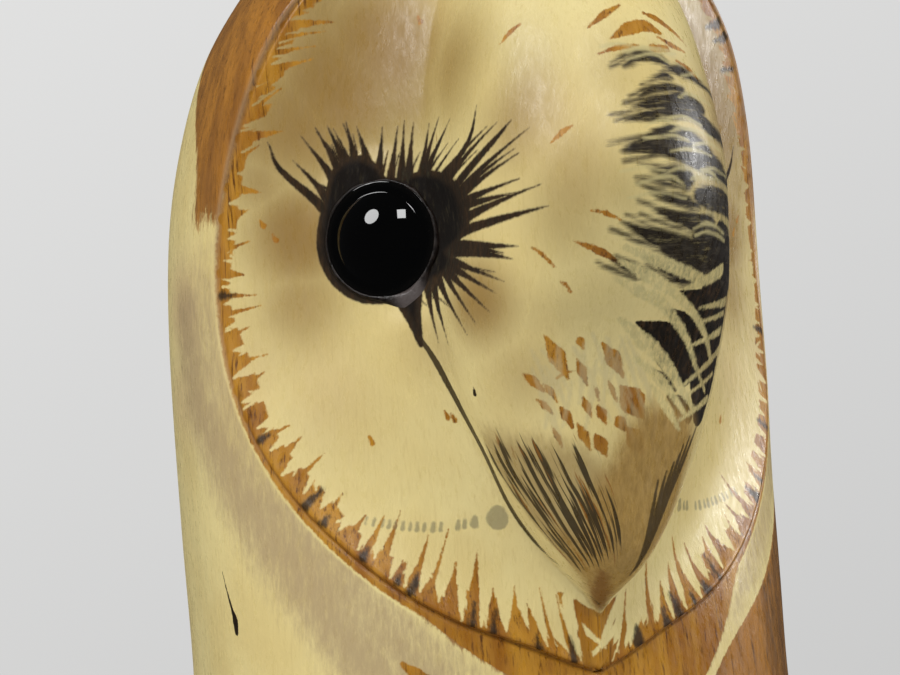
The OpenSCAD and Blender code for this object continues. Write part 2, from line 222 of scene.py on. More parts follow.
def tube_faces(rows, columns):
    """Quads between rings, each ring listed anticlockwise from above, rising."""
    i, j = np.meshgrid(np.arange(rows - 1), np.arange(columns), indexing="ij")
    k = (j + 1) % columns
    a = i * columns
    b = a + columns
    return np.stack([a + j, a + k, b + k, b + j], -1).reshape(-1, 4)


def cap_faces(ring, centre, up):
    """Quads from a ring to its centre, one for each two cells of the ring."""
    n = len(ring)
    j = np.arange(0, n, 2)
    a, b, c = ring[j], ring[(j + 1) % n], ring[(j + 2) % n]
    quads = np.stack([a, b, c, np.full_like(a, centre)], -1)
    return quads if up else quads[:, ::-1]


def outward(points, faces):
    """The faces turned so that they enclose a positive volume."""
    corners = points.reshape(-1, 3)[faces]
    halves = [np.einsum("ij,ij->i", corners[:, 0], np.cross(corners[:, k], corners[:, k + 1])).sum()
              for k in (1, 2)]
    return faces if sum(halves) > 0 else faces[:, ::-1]


def capped_tube(rings):
    """Points and faces of a closed tube through rings with an even number of points each."""
    rows, columns = rings.shape[:2]
    points = np.concatenate([rings.reshape(-1, 3), [rings[0].mean(0)], [rings[-1].mean(0)]])
    first, last = np.arange(columns), (rows - 1) * columns + np.arange(columns)
    faces = np.concatenate([tube_faces(rows, columns),
                            cap_faces(first, rows * columns, False),
                            cap_faces(last, rows * columns + 1, True)])
    return points, outward(points, faces)


def rings_piece(name, rings, replaced):
    """One closed solid through rings of points in mm from the datum."""
    points, faces = capped_tube(np.asarray(rings, float))
    return mesh_piece(name, points, faces, replaced)


def loop_piece(name, rings, replaced):
    """Closed band: the rings close on themselves and the last ring joins the first."""
    rings = np.asarray(rings, float)
    rows, columns = rings.shape[:2]
    i, j = np.meshgrid(np.arange(rows), np.arange(columns), indexing="ij")
    a, b = i * columns, (i + 1) % rows * columns
    k = (j + 1) % columns
    faces = np.stack([a + j, a + k, b + k, b + j], -1).reshape(-1, 4)
    return mesh_piece(name, rings, outward(rings, faces), replaced)


def add_field(piece, name, values):
    """Stores a number for each point of a piece; points past the end of the values get 0."""
    field = piece.data.attributes.new(name, "FLOAT", "POINT")
    full = np.zeros(len(piece.data.vertices), np.float32)
    full[:len(values)] = values
    field.data.foreach_set("value", full)


# --- Brushwork: each layer of paint is a field over the mesh, the distance in mm outside its strokes ---
FAR = 3.0                   # value of a field well away from its strokes


class Canvas:
    """A grid of surface points that strokes are painted on."""

    def __init__(self, radius, phi, z):
        self.radius, self.phi, self.z = radius, phi, z
        self.grid_phi, self.grid_z = np.meshgrid(phi, z)
        self.points = on_surface(radius, self.grid_phi, self.grid_z)
        self.layers = {}

    def layer(self, name, start=FAR):
        """The layer of that name, made when it is first asked for."""
        if name not in self.layers:
            self.layers[name] = np.full(self.grid_phi.shape, start)
        return self.layers[name]

    def cover(self, name, field):
        """Adds a whole field of distances to a layer."""
        np.minimum(self.layer(name), field, out=self.layer(name))

    def stroke(self, name, path, widths, reach=1.5):
        """Tapered stroke along a path of (angle, height); widths are in mm from start to end."""
        path = np.asarray(path, float)
        t = np.linspace(0, 1, max(9, 5 * len(path)))
        knots = np.linspace(0, 1, len(path))
        phi, z = np.interp(t, knots, path[:, 0]), np.interp(t, knots, path[:, 1])
        if len(path) > 2:
            phi, z = (curve(np.column_stack([knots, path[:, k]]), t) for k in (0, 1))
        half = np.interp(t, np.linspace(0, 1, len(widths)), widths) / 2
        line = on_surface(self.radius, phi, z)
        room = half.max() + reach
        turn = np.degrees(room / 34)
        i0, i1 = np.searchsorted(self.z, [z.min() - room, z.max() + room])
        j0, j1 = np.searchsorted(self.phi, [phi.min() - turn, phi.max() + turn])
        if i1 <= i0 or j1 <= j0:
            return
        near = self.points[i0:i1, j0:j1]
        best = np.full(near.shape[:2], FAR)
        for k in range(len(line) - 1):
            along = line[k + 1] - line[k]
            s = np.clip((near - line[k]) @ along / max(along @ along, 1e-9), 0, 1)
            gap = near - line[k] - s[..., None] * along
            best = np.minimum(best, np.sqrt((gap**2).sum(-1)) - (half[k] + (half[k + 1] - half[k]) * s))
        field = self.layer(name)[i0:i1, j0:j1]
        np.minimum(field, best, out=field)

    def tint(self, name, phi, z, radius, strength=1.0):
        """Soft airbrushed spot, added to a layer that runs from 0 to 1."""
        centre = on_surface(self.radius, np.float64(phi), np.float64(z))
        gap = ((self.points - centre) ** 2).sum(-1) / radius**2
        field = self.layer(name, 0.0)
        np.maximum(field, strength * np.exp(-gap), out=field)

    def keep(self, piece):
        """Stores the layers on the piece made from the same points."""
        for name, values in self.layers.items():
            add_field(piece, name, values.ravel())


# --- Materials ---
class Shade:
    """A procedural material, put together one node at a time."""

    def __init__(self, name):
        self.material = bpy.data.materials.new(name)
        self.material.use_nodes = True
        self.tree = self.material.node_tree
        self.shader = self.tree.nodes["Principled BSDF"]
        self.place = self.tree.nodes.new("ShaderNodeTexCoord").outputs["Object"]

    def node(self, kind, inputs, **settings):
        """New node with its inputs set or linked, and its own settings."""
        node = self.tree.nodes.new(kind)
        for key, value in settings.items():
            setattr(node, key, value)
        for key, value in inputs.items():
            self.plug(node.inputs[key], value)
        return node

    def plug(self, socket, value):
        """Links an output to a socket, or sets the socket to a number, vector or colour."""
        if isinstance(value, bpy.types.NodeSocket):
            self.tree.links.new(value, socket)
        elif isinstance(value, tuple) and socket.type == "RGBA":
            socket.default_value = (*value, 1)
        else:
            socket.default_value = value

    def set(self, **values):
        """Sets or links the shader's own inputs; underscores stand for spaces."""
        for key, value in values.items():
            self.plug(self.shader.inputs[key.replace("_", " ")], value)

    def noise(self, size, stretch=(1, 1, 1), detail=3.0, rough=0.55, shift=0.0):
        """Noise whose patches are about size mm, stretched along the axes."""
        scale = tuple(1000 / size / s for s in stretch)
        moved = self.node("ShaderNodeMapping", {"Vector": self.place, "Scale": scale,
                                                "Location": (shift, shift, shift)})
        return self.node("ShaderNodeTexNoise", {"Vector": moved.outputs[0], "Scale": 1.0, "Detail": detail,
                                                "Roughness": rough}).outputs["Fac"]

    def field(self, name):
        """A field stored on the mesh's points."""
        return self.node("ShaderNodeAttribute", {}, attribute_name=name).outputs["Fac"]

    def math(self, operation, a, b=0.0, c=0.0):
        """One step of arithmetic."""
        return self.node("ShaderNodeMath", {0: a, 1: b, 2: c}, operation=operation).outputs[0]

    def ramp(self, value, low, high, start=0.0, end=1.0):
        """Smooth passage from start to end while the value goes from low to high."""
        return self.node("ShaderNodeMapRange", {"Value": value, "From Min": low, "From Max": high,
                                                "To Min": start, "To Max": end},
                         interpolation_type="SMOOTHSTEP").outputs[0]

    def mix(self, part, a, b):
        """Colour between a and b."""
        node = self.node("ShaderNodeMix", {0: part, 6: a, 7: b}, data_type="RGBA")
        return node.outputs[2]

    def multiply(self, part, a, b):
        """Colour a darkened by b, so much of it."""
        node = self.node("ShaderNodeMix", {0: part, 6: a, 7: b}, data_type="RGBA", blend_type="MULTIPLY")
        return node.outputs[2]

    def paint(self, under, cover, over, strength=1.0):
        """Lays one colour over another by a coverage of 0 to 1, thinned to so much strength."""
        if strength < 1:
            cover = self.math("MULTIPLY", cover, strength)
        return self.mix(cover, under, over)

    def broken(self, name, noise, amount):
        """A coverage of 0 to 1 stored on the mesh, broken up by noise."""
        return self.math("MULTIPLY_ADD", noise, amount, self.field(name))

    def brushed(self, name, noise, ragged, soft):
        """How much of a layer of strokes covers a place: its edge is ragged and soft by so many mm."""
        edge = self.broken(name, noise, 2 * ragged)
        return self.ramp(self.math("SUBTRACT", edge, ragged), -soft, soft, 1.0, 0.0)

    def combed(self, name, count, length):
        """Noise drawn out along lines of equal value of a field, each about length mm long."""
        height = self.node("ShaderNodeSeparateXYZ", {0: self.place}).outputs[2]
        place = self.node("ShaderNodeCombineXYZ", {0: self.math("MULTIPLY", self.field(name), count),
                                                   1: self.math("MULTIPLY", height,
                                                                1000 / length)}).outputs[0]
        return self.node("ShaderNodeTexNoise", {"Vector": place, "Scale": 1.0, "Detail": 2.5,
                                                "Roughness": 0.5}).outputs["Fac"]

    def bump(self, height, depth, over=None):
        """Bump of so many mm, laid over an earlier one."""
        inputs = {"Height": height, "Distance": depth / 1000, "Strength": 1.0}
        if over is not None:
            inputs["Normal"] = over
        return self.node("ShaderNodeBump", inputs).outputs[0]


VARNISH_SHINE = 0.38                 # specular level
MATTE_ROUGHNESS = 0.62               # how much rougher the dull paint is

# Colours as linear red, green and blue.
WOOD_LIGHT, WOOD_MIDDLE, WOOD_DARK = (0.52, 0.245, 0.022), (0.33, 0.125, 0.010), (0.10, 0.03, 0.004)
STAIN = (0.42, 0.165, 0.018), (0.25, 0.090, 0.012)
CREAM_LIGHT, CREAM, CREAM_DEEP = (0.85, 0.71, 0.32), (0.74, 0.58, 0.235), (0.58, 0.42, 0.15)
TAN, OLIVE, PINK = (0.30, 0.172, 0.042), (0.37, 0.27, 0.085), (0.60, 0.40, 0.21)
BLACK, UMBER, GREY = (0.014, 0.010, 0.006), (0.006, 0.003, 0.001), (0.27, 0.23, 0.12)
BROWN_GLAZE, SPECK_BROWN = (0.055, 0.028, 0.008), (0.02, 0.012, 0.006)
BLUSH_TAN, BARK, LIP_HIGHLIGHT = (0.44, 0.315, 0.165), (0.085, 0.045, 0.02), (0.52, 0.36, 0.20)
RIM_SPOT, PALE_WASH, PALE_HAIR = (0.024, 0.016, 0.009), (0.54, 0.45, 0.24), (0.58, 0.49, 0.22)
DARK_THIN, BAR, BAR_THIN = (0.09, 0.045, 0.015), (0.018, 0.012, 0.007), (0.095, 0.075, 0.045)
BEAK_UNDER, BEAK_DARK, BEAK_LIGHT = (0.36, 0.24, 0.085), (0.30, 0.17, 0.037), (0.43, 0.26, 0.070)
BEAK_RED, REED, RUST = (0.17, 0.06, 0.012), (0.040, 0.026, 0.010), (0.26, 0.10, 0.012)
GRASS, LINE_BROWN = (0.036, 0.022, 0.007), (0.035, 0.020, 0.006)
# GROOVE_SHADE is the colour of painted shade along the rim's groove.
THIN_CREAM, GROOVE_SHADE = (0.62, 0.66, 0.68), (0.42, 0.22, 0.08)     # multiplied with the paint below


def stained_wood(shade, light=WOOD_LIGHT, middle=WOOD_MIDDLE):
    """Colour of stained wood with its grain upright."""
    fine = shade.noise(0.5, (1, 1, 30), 5.0, 0.7)
    broad = shade.noise(3.0, (1, 1, 8), 3.0, 0.5, 4.0)
    color = shade.mix(shade.ramp(broad, 0.3, 0.7), middle, light)
    return shade.mix(shade.ramp(fine, 0.50, 0.72), color, WOOD_DARK)


def cream_coat(shade):
    """Cream paint with brush streaks, thin places and airbrushed tints, which on the face are partly
    painted shade.
    """
    streaks = shade.noise(0.45, (1, 1, 14), 4.0, 0.6, 2.0)
    clouds = shade.noise(14.0, (1, 1, 1.4), 3.0, 0.5, 7.0)
    color = shade.mix(shade.ramp(clouds, 0.3, 0.75), CREAM, CREAM_LIGHT)
    color = shade.paint(color, shade.ramp(streaks, 0.5, 0.85, 0.0, 0.45), CREAM_DEEP)
    wobble = shade.math("MULTIPLY_ADD", clouds, 0.5, -0.25)
    for name, tint in (("olive", OLIVE), ("pink", PINK), ("tan", TAN)):
        amount = shade.math("ADD", shade.field(name), wobble)
        color = shade.paint(color, shade.ramp(amount, 0.0, 1.1, 0.0, 0.95), tint)
    return color


def varnish(shade, rough=0.30, depth=0.05, matte=None):
    """Satin varnish over brush marks and the wood's pores; paint that covers the place in matte is dull."""
    strokes = shade.noise(0.40, (1, 1, 3), 5.0, 0.70, 11.0)
    lumps = shade.noise(2.2, (1, 1, 2.0), 3.0, 0.5, 5.0)
    normal = shade.bump(lumps, depth * 2.4)
    normal = shade.bump(strokes, depth, normal)
    gloss = shade.ramp(shade.noise(0.9, (1, 1, 3), 4.0, 0.6, 3.0), 0.3, 0.75, rough - 0.06, rough + 0.16)
    if matte is not None:
        gloss = shade.math("MULTIPLY_ADD", matte, MATTE_ROUGHNESS, gloss)
    shade.set(Roughness=gloss, Normal=normal, Specular_IOR_Level=VARNISH_SHINE)


def face_material():
    """The head's paint: every layer of strokes in the order they were put on, with painted shade and a
    painted highlight at the rim.
    """
    shade = Shade("painted face")
    color = stained_wood(shade)
    edge = shade.noise(0.55, (1, 1, 1.3), 4.0, 0.65)
    dry = shade.noise(0.6, (1.2, 1.2, 5), 5.0, 0.75, 6.0)
    across = shade.noise(0.7, (7, 7, 1), 4.0, 0.7, 9.0)
    coat = cream_coat(shade)
    color = shade.paint(color, shade.brushed("cream", edge, 0.36, 0.16), coat)
    band = shade.ramp(shade.broken("band", dry, 0.9), 0.80, 1.05, 0.0, 0.95)
    color = shade.paint(color, band, stained_wood(shade, *STAIN))
    blush = shade.math("MULTIPLY_ADD", dry, 0.8, shade.math("MULTIPLY", shade.field("blush"), 0.6))
    color = shade.paint(color, shade.ramp(blush, 0.50, 1.05, 0.0, 0.85), BLUSH_TAN)
    bark = shade.ramp(shade.broken("bark", dry, 0.7), 0.75, 1.15, 0.0, 0.85)
    color = shade.paint(color, bark, BARK)
    # Painted highlight on the column's edge just outside the rim.
    color = shade.paint(color, shade.field("lip"), LIP_HIGHLIGHT, 0.5)
    color = shade.paint(color, shade.brushed("fleck", edge, 0.35, 0.14), stained_wood(shade))
    color = shade.paint(color, shade.brushed("spot", dry, 1.0, 0.4), RIM_SPOT, 0.9)
    color = shade.paint(color, shade.brushed("wash", dry, 0.5, 0.3), PALE_WASH, 0.45)
    dark = shade.mix(shade.ramp(dry, 0.45, 0.8), BLACK, DARK_THIN)
    color = shade.paint(color, shade.brushed("dark", edge, 0.30, 0.14), dark)
    worn = shade.ramp(across, 0.25, 0.5, 0.72, 1.0)
    bars = shade.math("MULTIPLY", shade.brushed("bar", across, 0.8, 0.50), worn)
    color = shade.paint(color, bars, shade.mix(shade.ramp(across, 0.45, 0.75), BAR, BAR_THIN))
    color = shade.paint(color, shade.brushed("pale", across, 0.5, 0.3), PALE_HAIR, 0.75)
    under = shade.ramp(shade.broken("comb", dry, 0.8), 0.5, 1.4, 0.0, 0.75)
    color = shade.paint(color, under, BEAK_UNDER)
    glaze = shade.mix(shade.ramp(dry, 0.3, 0.7), BEAK_DARK, BEAK_LIGHT)
    color = shade.paint(color, shade.brushed("beak", dry, 1.2, 2.2), glaze, 0.95)
    color = shade.paint(color, shade.brushed("red", dry, 0.6, 0.8), BEAK_RED, 0.7)
    streaky = shade.ramp(dry, 0.25, 0.55, 0.55, 0.95)
    pale = shade.math("MULTIPLY", shade.brushed("hatch", edge, 0.5, 0.25), streaky)
    thin = shade.multiply(0.8, coat, THIN_CREAM)
    color = shade.paint(color, pale, shade.mix(shade.ramp(dry, 0.35, 0.7), thin, coat))
    reeds = shade.math("MULTIPLY_ADD", shade.field("comb"), 0.30, shade.combed("reed", 23.0, 12.0))
    color = shade.paint(color, shade.ramp(reeds, 0.755, 0.835, 0.0, 0.92), REED)
    rust = shade.math("MULTIPLY_ADD", shade.field("comb"), 0.14, shade.combed("reed", 14.0, 8.0))
    color = shade.paint(color, shade.ramp(rust, 0.74, 0.80, 0.0, 0.8), RUST)
    color = shade.paint(color, shade.brushed("grass", edge, 0.16, 0.16), GRASS, 0.85)
    color = shade.paint(color, shade.brushed("dot", edge, 0.25, 0.18), GREY, 0.7)
    dragged = shade.ramp(dry, 0.2, 0.5, 0.94, 1.0)
    lash = shade.math("MULTIPLY", shade.brushed("lash", edge, 0.20, 0.18), dragged)
    outer = shade.ramp(shade.field("lash"), -1.6, -0.2, 0.0, 0.8)
    outer = shade.math("MULTIPLY", outer, shade.ramp(dry, 0.3, 0.65))
    color = shade.paint(color, lash, shade.mix(outer, UMBER, BROWN_GLAZE))
    color = shade.paint(color, shade.brushed("line", edge, 0.10, 0.10), LINE_BROWN, 0.93)
    color = shade.paint(color, shade.brushed("speck", edge, 0.15, 0.06), SPECK_BROWN)
    # Painted shade in the rim's groove, multiplied over all the paint.
    groove = shade.ramp(shade.field("groove"), 0.0, 1.0, 0.0, 0.55)
    color = shade.multiply(groove, color, GROOVE_SHADE)
    shade.set(Base_Color=color)
    varnish(shade, matte=lash)
    return shade.material


# --- Head ---
FINE = 1.0   # spacing of the meshes' points, as a share of the full one
FACE_REACH = 97                     # degrees to each side that are meshed finely
face_phi = np.linspace(-FACE_REACH, FACE_REACH, int(760 / FINE) + 1)
back_phi = np.linspace(FACE_REACH, 360 - FACE_REACH, int(140 / FINE) + 2)[1:-1]
head_phi = np.concatenate([face_phi, back_phi])
head_z = np.concatenate([np.linspace(JOINT, -68, int(40 / FINE))[:-1],
                         np.linspace(-68, 40, int(620 / FINE))[:-1],
                         40 + 11.9 * np.sin(np.linspace(0, math.pi / 2, int(90 / FINE)))])
if len(head_phi) % 2:               # the ends of a closed tube need an even number of points
    head_phi = head_phi[:-1]
canvas = Canvas(lambda phi, z: head_radius(signed(phi), z), head_phi, head_z)

# Round the eye a place is a bearing, from straight up towards the beak, and a distance in mm.
EYE_PHI, EYE_ARC = 42.1, 40         # angle of the eye's middle, and radius of the wood round it in mm
# Outline of the dark paint round the eye.
EYE_SHADOW = [(-180, 8.9), (-100, 9.1), (-65, 9.3), (-45, 10.6), (-30, 12.4), (-12, 12.2), (2, 10.6),
              (14, 8.6), (30, 9.6), (45, 12.2), (60, 13.6), (75, 13.8), (92, 13.4), (103, 11.4),
              (112, 12.4), (125, 11), (145, 9.8), (165, 9.0), (180, 8.9)]
# Lashes: bearing and distance of the root, then of the tip.
LASHES = [(-50, 10, -45, 17), (-36, 11, -35, 18.6), (-29, 12, -28, 18.4), (-23, 13, -23, 17.8),
          (-19, 12, -22, 15.7), (-15, 12, -14, 17.4), (-3, 11, -9, 16.1), (6, 10.6, 6, 15.4),
          (20, 9.4, 15, 15.7), (30, 10, 18, 16.6), (35, 11, 23, 16.7), (43, 12, 31, 17.3),
          (43, 13, 34, 18.6), (45, 13, 39, 18.9), (56, 15, 52, 20.1), (60, 15, 53, 21), (71, 15, 60, 22.4),
          (71, 15, 64, 20.1), (73, 15, 66, 20.2), (76, 15, 75, 19), (78, 15, 80, 18.7),
          (86, 14.5, 79, 20.4), (109, 13, 115, 18.3), (112, 13, 120, 18.2), (114, 12, 127, 18.9),
          (112, 11, 133, 18.7), (120, 11, 138, 18.9), (125, 11, 146, 18.3), (130, 10.5, 149, 17.1)]
# Long lashes that bend: root, middle and tip.
LONG_LASHES = [((-60, 9), (-52, 17), (-45, 20.9)), ((59, 13), (52, 17.5), (44, 21.6)),
               ((67, 15), (58, 19.1), (55, 22)), ((93, 14), (89, 17), (87, 20.5)),
               ((98, 11), (101, 15.5), (101, 18.3)), ((104, 12), (105, 15.5), (106, 18.1)),
               ((101, 12), (103, 15), (104, 17.2))]
# The line from the eye's corner to the beak, as angle and height; so are the strokes that follow.
EYE_LINE = [(-33.2, -19.2), (-30.4, -22.4), (-27.4, -26.8), (-22.9, -33.8), (-18.1, -41.8), (-13, -47.2),
            (-6.5, -52.2), (-1, -56.2)]
# Edges of the fan of dark lines on the beak: the angle at each height.
BEAK_OUTER = [(-56, -1.5), (-50.5, -7.5), (-44, -14.5), (-36, -20.8), (-27, -25), (-20, -27)]
BEAK_INNER = [(-56, -0.5), (-50.5, -1), (-44, -2), (-37.5, -4.5), (-32, -7), (-26, -9), (-20, -11)]
# Bars across the ridge, from the owl's right to its left: places, then widths.
BARS = [([(-2.5, 13), (0, 14.3), (2.7, 13.9), (4.6, 12.6)], (0.4, 1.3, 1.2, 0.5)),
        ([(0.4, 11), (2.7, 11.9), (3.8, 11.5)], (0.3, 1, 0.3)),
        ([(2.9, 12.5), (5, 12.7), (7.6, 12.2), (9.3, 11.6)], (0.4, 1.4, 0.9, 0.4)),
        ([(-1.5, 8.8), (0.3, 9.7), (2.8, 10.2), (5, 9.9)], (0.5, 0.9, 1.1, 0.9)),
        ([(-2.7, 7.3), (-0.9, 7.7), (1.6, 8.1), (4.9, 8.6), (8, 7.7)], (0.3, 1.2, 1.7, 2, 1.5)),
        ([(-3.9, 5.6), (-1.3, 6.2), (1.4, 6.6), (4.6, 7.2), (7.2, 6.4), (9.8, 5.1)],
         (0.3, 1.4, 1.6, 1.8, 1.9, 0.6)),
        ([(-4.2, 2), (-1.5, 2.5), (0.8, 3), (3.3, 2.6), (5.9, 1.5), (8.3, 0.4), (11, -0.1)],
         (0.7, 2.2, 3.4, 3.7, 3, 2, 0.6)),
        ([(-2, -0.3), (-0.1, -0.7), (1.5, -1.1), (3.2, -1.6)], (0.2, 1.2, 1.9, 2.2)),
        ([(5.8, 0.7), (8, 0), (10.5, -0.8)], (1.8, 2, 0.8)),
        ([(-1.8, -2.8), (0.2, -3.7), (2.4, -4.3), (5.7, -5.1)], (0.3, 0.9, 1.4, 0.6)),
        ([(5.6, -3.7), (9.1, -4), (12, -4.3)], (1.8, 3, 3)),
        ([(-1.5, -5.1), (0.8, -6.1), (4.2, -6.9), (8, -7.3)], (0.4, 1, 1.8, 2.2)),
        ([(-4.7, -6.8), (-2.1, -8.2), (0.4, -9.2), (3.9, -10.6), (8.5, -12.2)], (0.3, 1.2, 2, 3, 3.6)),
        ([(6.3, -9.1), (9, -10), (13, -10.5)], (2.6, 5, 5)),
        ([(-1.5, -11.1), (1, -12.3), (4, -13.5), (6.3, -14.3)], (0.3, 1.2, 1.9, 1.2)),
        ([(-5.5, -11.3), (-3.8, -12.4), (-1.8, -13.5)], (0.4, 0.9, 0.4))]
# The dark lower ridge, under the pale strokes.
DARKS = [([(-1.2, -19.1), (2.4, -20.6), (5.3, -22.4), (7.9, -24.8), (9, -26)], (0.3, 2.6, 4.6, 4.2, 2)),
         ([(12, -9), (13, -14), (13.5, -20), (14, -26), (13.5, -31)], (5, 7, 7, 6, 3)),
         ([(4.5, -15.4), (8.5, -16.4), (12, -17)], (0.3, 2.2, 3)),
         ([(2.8, -17.6), (5.6, -19), (9.2, -21)], (0.3, 1.9, 2.4)),
         ([(2.2, -25.1), (4.4, -26.4), (6.7, -27.9)], (0.2, 1.2, 0.5)),
         ([(5.4, -28.7), (8, -30), (10.3, -31.7)], (0.5, 2, 1.2))]
# Pale strokes that cross it.
HATCHES = [([(-4.2, -9.9), (0.6, -11.8), (7.7, -13.9)], (0.8, 1.7, 1.7)),
           ([(-4.5, -11.5), (-0.4, -13.7), (4.5, -16.1), (10.5, -19.9), (15, -24)],
            (0.8, 1.8, 1.2, 1.1, 0.7)),
           ([(-5, -13.6), (-1.5, -15.3), (1.9, -16.9), (7.4, -21.2), (10.9, -25.1), (14.5, -28.3)],
            (0.6, 1.6, 1.6, 1.1, 0.8, 0.5)),
           ([(-3.5, -18.7), (0.1, -21.4), (4, -24.1), (7.7, -27.6), (11.2, -30.5)],
            (0.8, 2.2, 1.8, 1.3, 0.6)),
           ([(-0.6, -23.6), (3.9, -26.7), (9.5, -31.4)], (0.7, 1.6, 0.6)),
           ([(2.4, -27.2), (5.1, -30.1), (8, -33)], (0.6, 1.4, 0.6)),
           ([(20, -3.4), (13, -2.2), (7, -1.9)], (1.2, 1.0, 0.4)),
           ([(20, -7.4), (14, -6.4), (7, -5.6)], (1.4, 1.1, 0.4)),
           ([(12.8, -12.7), (9, -14), (5.4, -15)], (2, 1.5, 0.6)),
           ([(17, -16.5), (9, -17.5)], (1.4, 0.4)),
           ([(17, -18), (9.8, -19.3)], (0.9, 0.4)),
           ([(17, -20.3), (8.4, -22.3)], (1.2, 0.4)),
           ([(18.4, -22.7), (8.1, -27.4)], (1.3, 0.5)),
           ([(17, -26), (9.1, -28.7)], (0.7, 0.4)),
           ([(16, -29.3), (8.1, -31.8)], (1.1, 0.5))]
# Places left bare between the cream strokes of the ridge: both ends and the width.
FLECKS = [(-13.2, -20.1, -10, -25.8, 2), (-9, -20.6, -8.1, -22, 0.9), (-5.7, -21.4, -2.2, -25.9, 1.8),
          (-8.9, -23.3, -7.4, -26.6, 1.1), (-16.1, -24.8, -13.2, -27.3, 1.2),
          (-13.2, -26.2, -11.4, -28.6, 0.8), (-14.3, -28.1, -12, -30.2, 0.8),
          (-11.1, -29.2, -9.3, -32, 1.2), (-8, -28.1, -6.7, -30.8, 1), (-5.9, -29.3, -4.6, -31.8, 1.2),
          (-2.6, -27, 1.2, -31.4, 3), (-3.2, -31, -1.8, -32.7, 1.4), (-6.4, -26.8, -5.7, -28.6, 0.5),
          (-4.4, -26.3, -3.1, -29, 0.6), (-9.4, -24.8, -11.5, -25.6, 0.4), (-8.7, -31.4, -6.8, -35, 1.2),
          (-12.2, -31.8, -10.7, -34.4, 0.7), (-6.2, -33, -4.4, -36, 1.6), (-1.5, -32.4, 1.4, -36, 2.2),
          (-12.1, 3.6, -9.6, 5.5, 0.7), (-14.8, -9.1, -12.2, -11.8, 0.5), (-10.1, -8.8, -4.4, -11.9, 0.9),
          (-8.2, -5.2, -4.9, -6.6, 0.5), (-6, 18.3, -1.2, 21.4, 1), (-5.4, 14.7, 0.1, 15.8, 0.8),
          (-11.5, -13.5, -10.2, -15, 0.5), (-16.8, 17.7, -14, 19.9, 0.7)]
# Such places that bend: the path and its widths.
CURVED_FLECKS = [([(-3.5, 16.7), (-0.9, 18), (1.6, 18.6), (3.9, 17.7)], (0.3, 1.9, 1.9, 0.6)),
                 ([(2, 20.4), (3.8, 19.8), (6.4, 18.4), (8.9, 16.7)], (0.4, 1, 0.7, 0.2)),
                 ([(3.2, 17.1), (5.5, 16.2), (8, 15.6)], (0.4, 0.9, 0.3)),
                 ([(2, 15.5), (4.4, 15.6)], (1.2, 1)),
                 ([(5.5, 14.1), (8, 13.1), (10, 11.7)], (0.3, 0.9, 0.3))]


def round_eye(side, bearing, away):
    """Angle and height of a place round the eye of that side: -1 is the owl's right."""
    turn = math.radians(bearing)
    phi = -EYE_PHI + math.degrees(away * math.sin(turn) / EYE_ARC)
    return -side * phi, EYE_HEIGHT + away * math.cos(turn)


def inside_rim(turn, inset, side):
    """Angle and height of a place inside the disc's rim, at so many degrees from straight up."""
    far = curve(RIM, turn) - inset
    return (side * math.degrees(far * math.sin(math.radians(turn)) / UNROLL),
            RIM_MIDDLE + far * math.cos(math.radians(turn)))


def shadow_edge(bearing):
    """Distance from the eye's middle at which the dark paint round it ends."""
    return float(curve(EYE_SHADOW, np.float64(bearing)))


def paint_lashes(side):
    """The eye's dark patch, its lashes and the line from its corner to the beak."""
    towards_beak = EYE_ARC * np.radians(canvas.grid_phi * -side + EYE_PHI)
    above = canvas.grid_z - EYE_HEIGHT
    bearing, away = np.degrees(np.arctan2(towards_beak, above)), np.hypot(towards_beak, above)
    outline = curve(EYE_SHADOW, bearing)
    canvas.cover("lash", np.where(away < 20, away - outline, FAR))
    for root, start, tip, end in LASHES:
        start = min(start, shadow_edge(root)) - 1.0
        canvas.stroke("lash", [round_eye(side, root, start), round_eye(side, tip, end)], (1.7, 0.7, 0.1))
    for path in LONG_LASHES:
        root, start = path[0]
        start = min(start, shadow_edge(root)) - 1.0
        places = [round_eye(side, *place) for place in ((root, start), *path[1:])]
        canvas.stroke("lash", places, (1.6, 0.9, 0.12))
    for _ in range(26):
        root = random.uniform(-45, 150)
        start = shadow_edge(root)
        tip = round_eye(side, root - random.uniform(-2, 6), start + random.uniform(2, 5.5))
        canvas.stroke("lash", [round_eye(side, root, start - 1), tip], (0.6, 0.4, 0.1))
    duct = [round_eye(side, bearing, away) for bearing, away in ((150, 9), (154, 12.5), (157, 16))]
    canvas.stroke("lash", duct, (4.5, 2.4, 0.9))
    line = [(-side * phi, z) for phi, z in EYE_LINE]
    canvas.stroke("line", line, (0.6, 0.9, 1.0, 1.0, 0.9, 0.8, 0.6, 0.4))


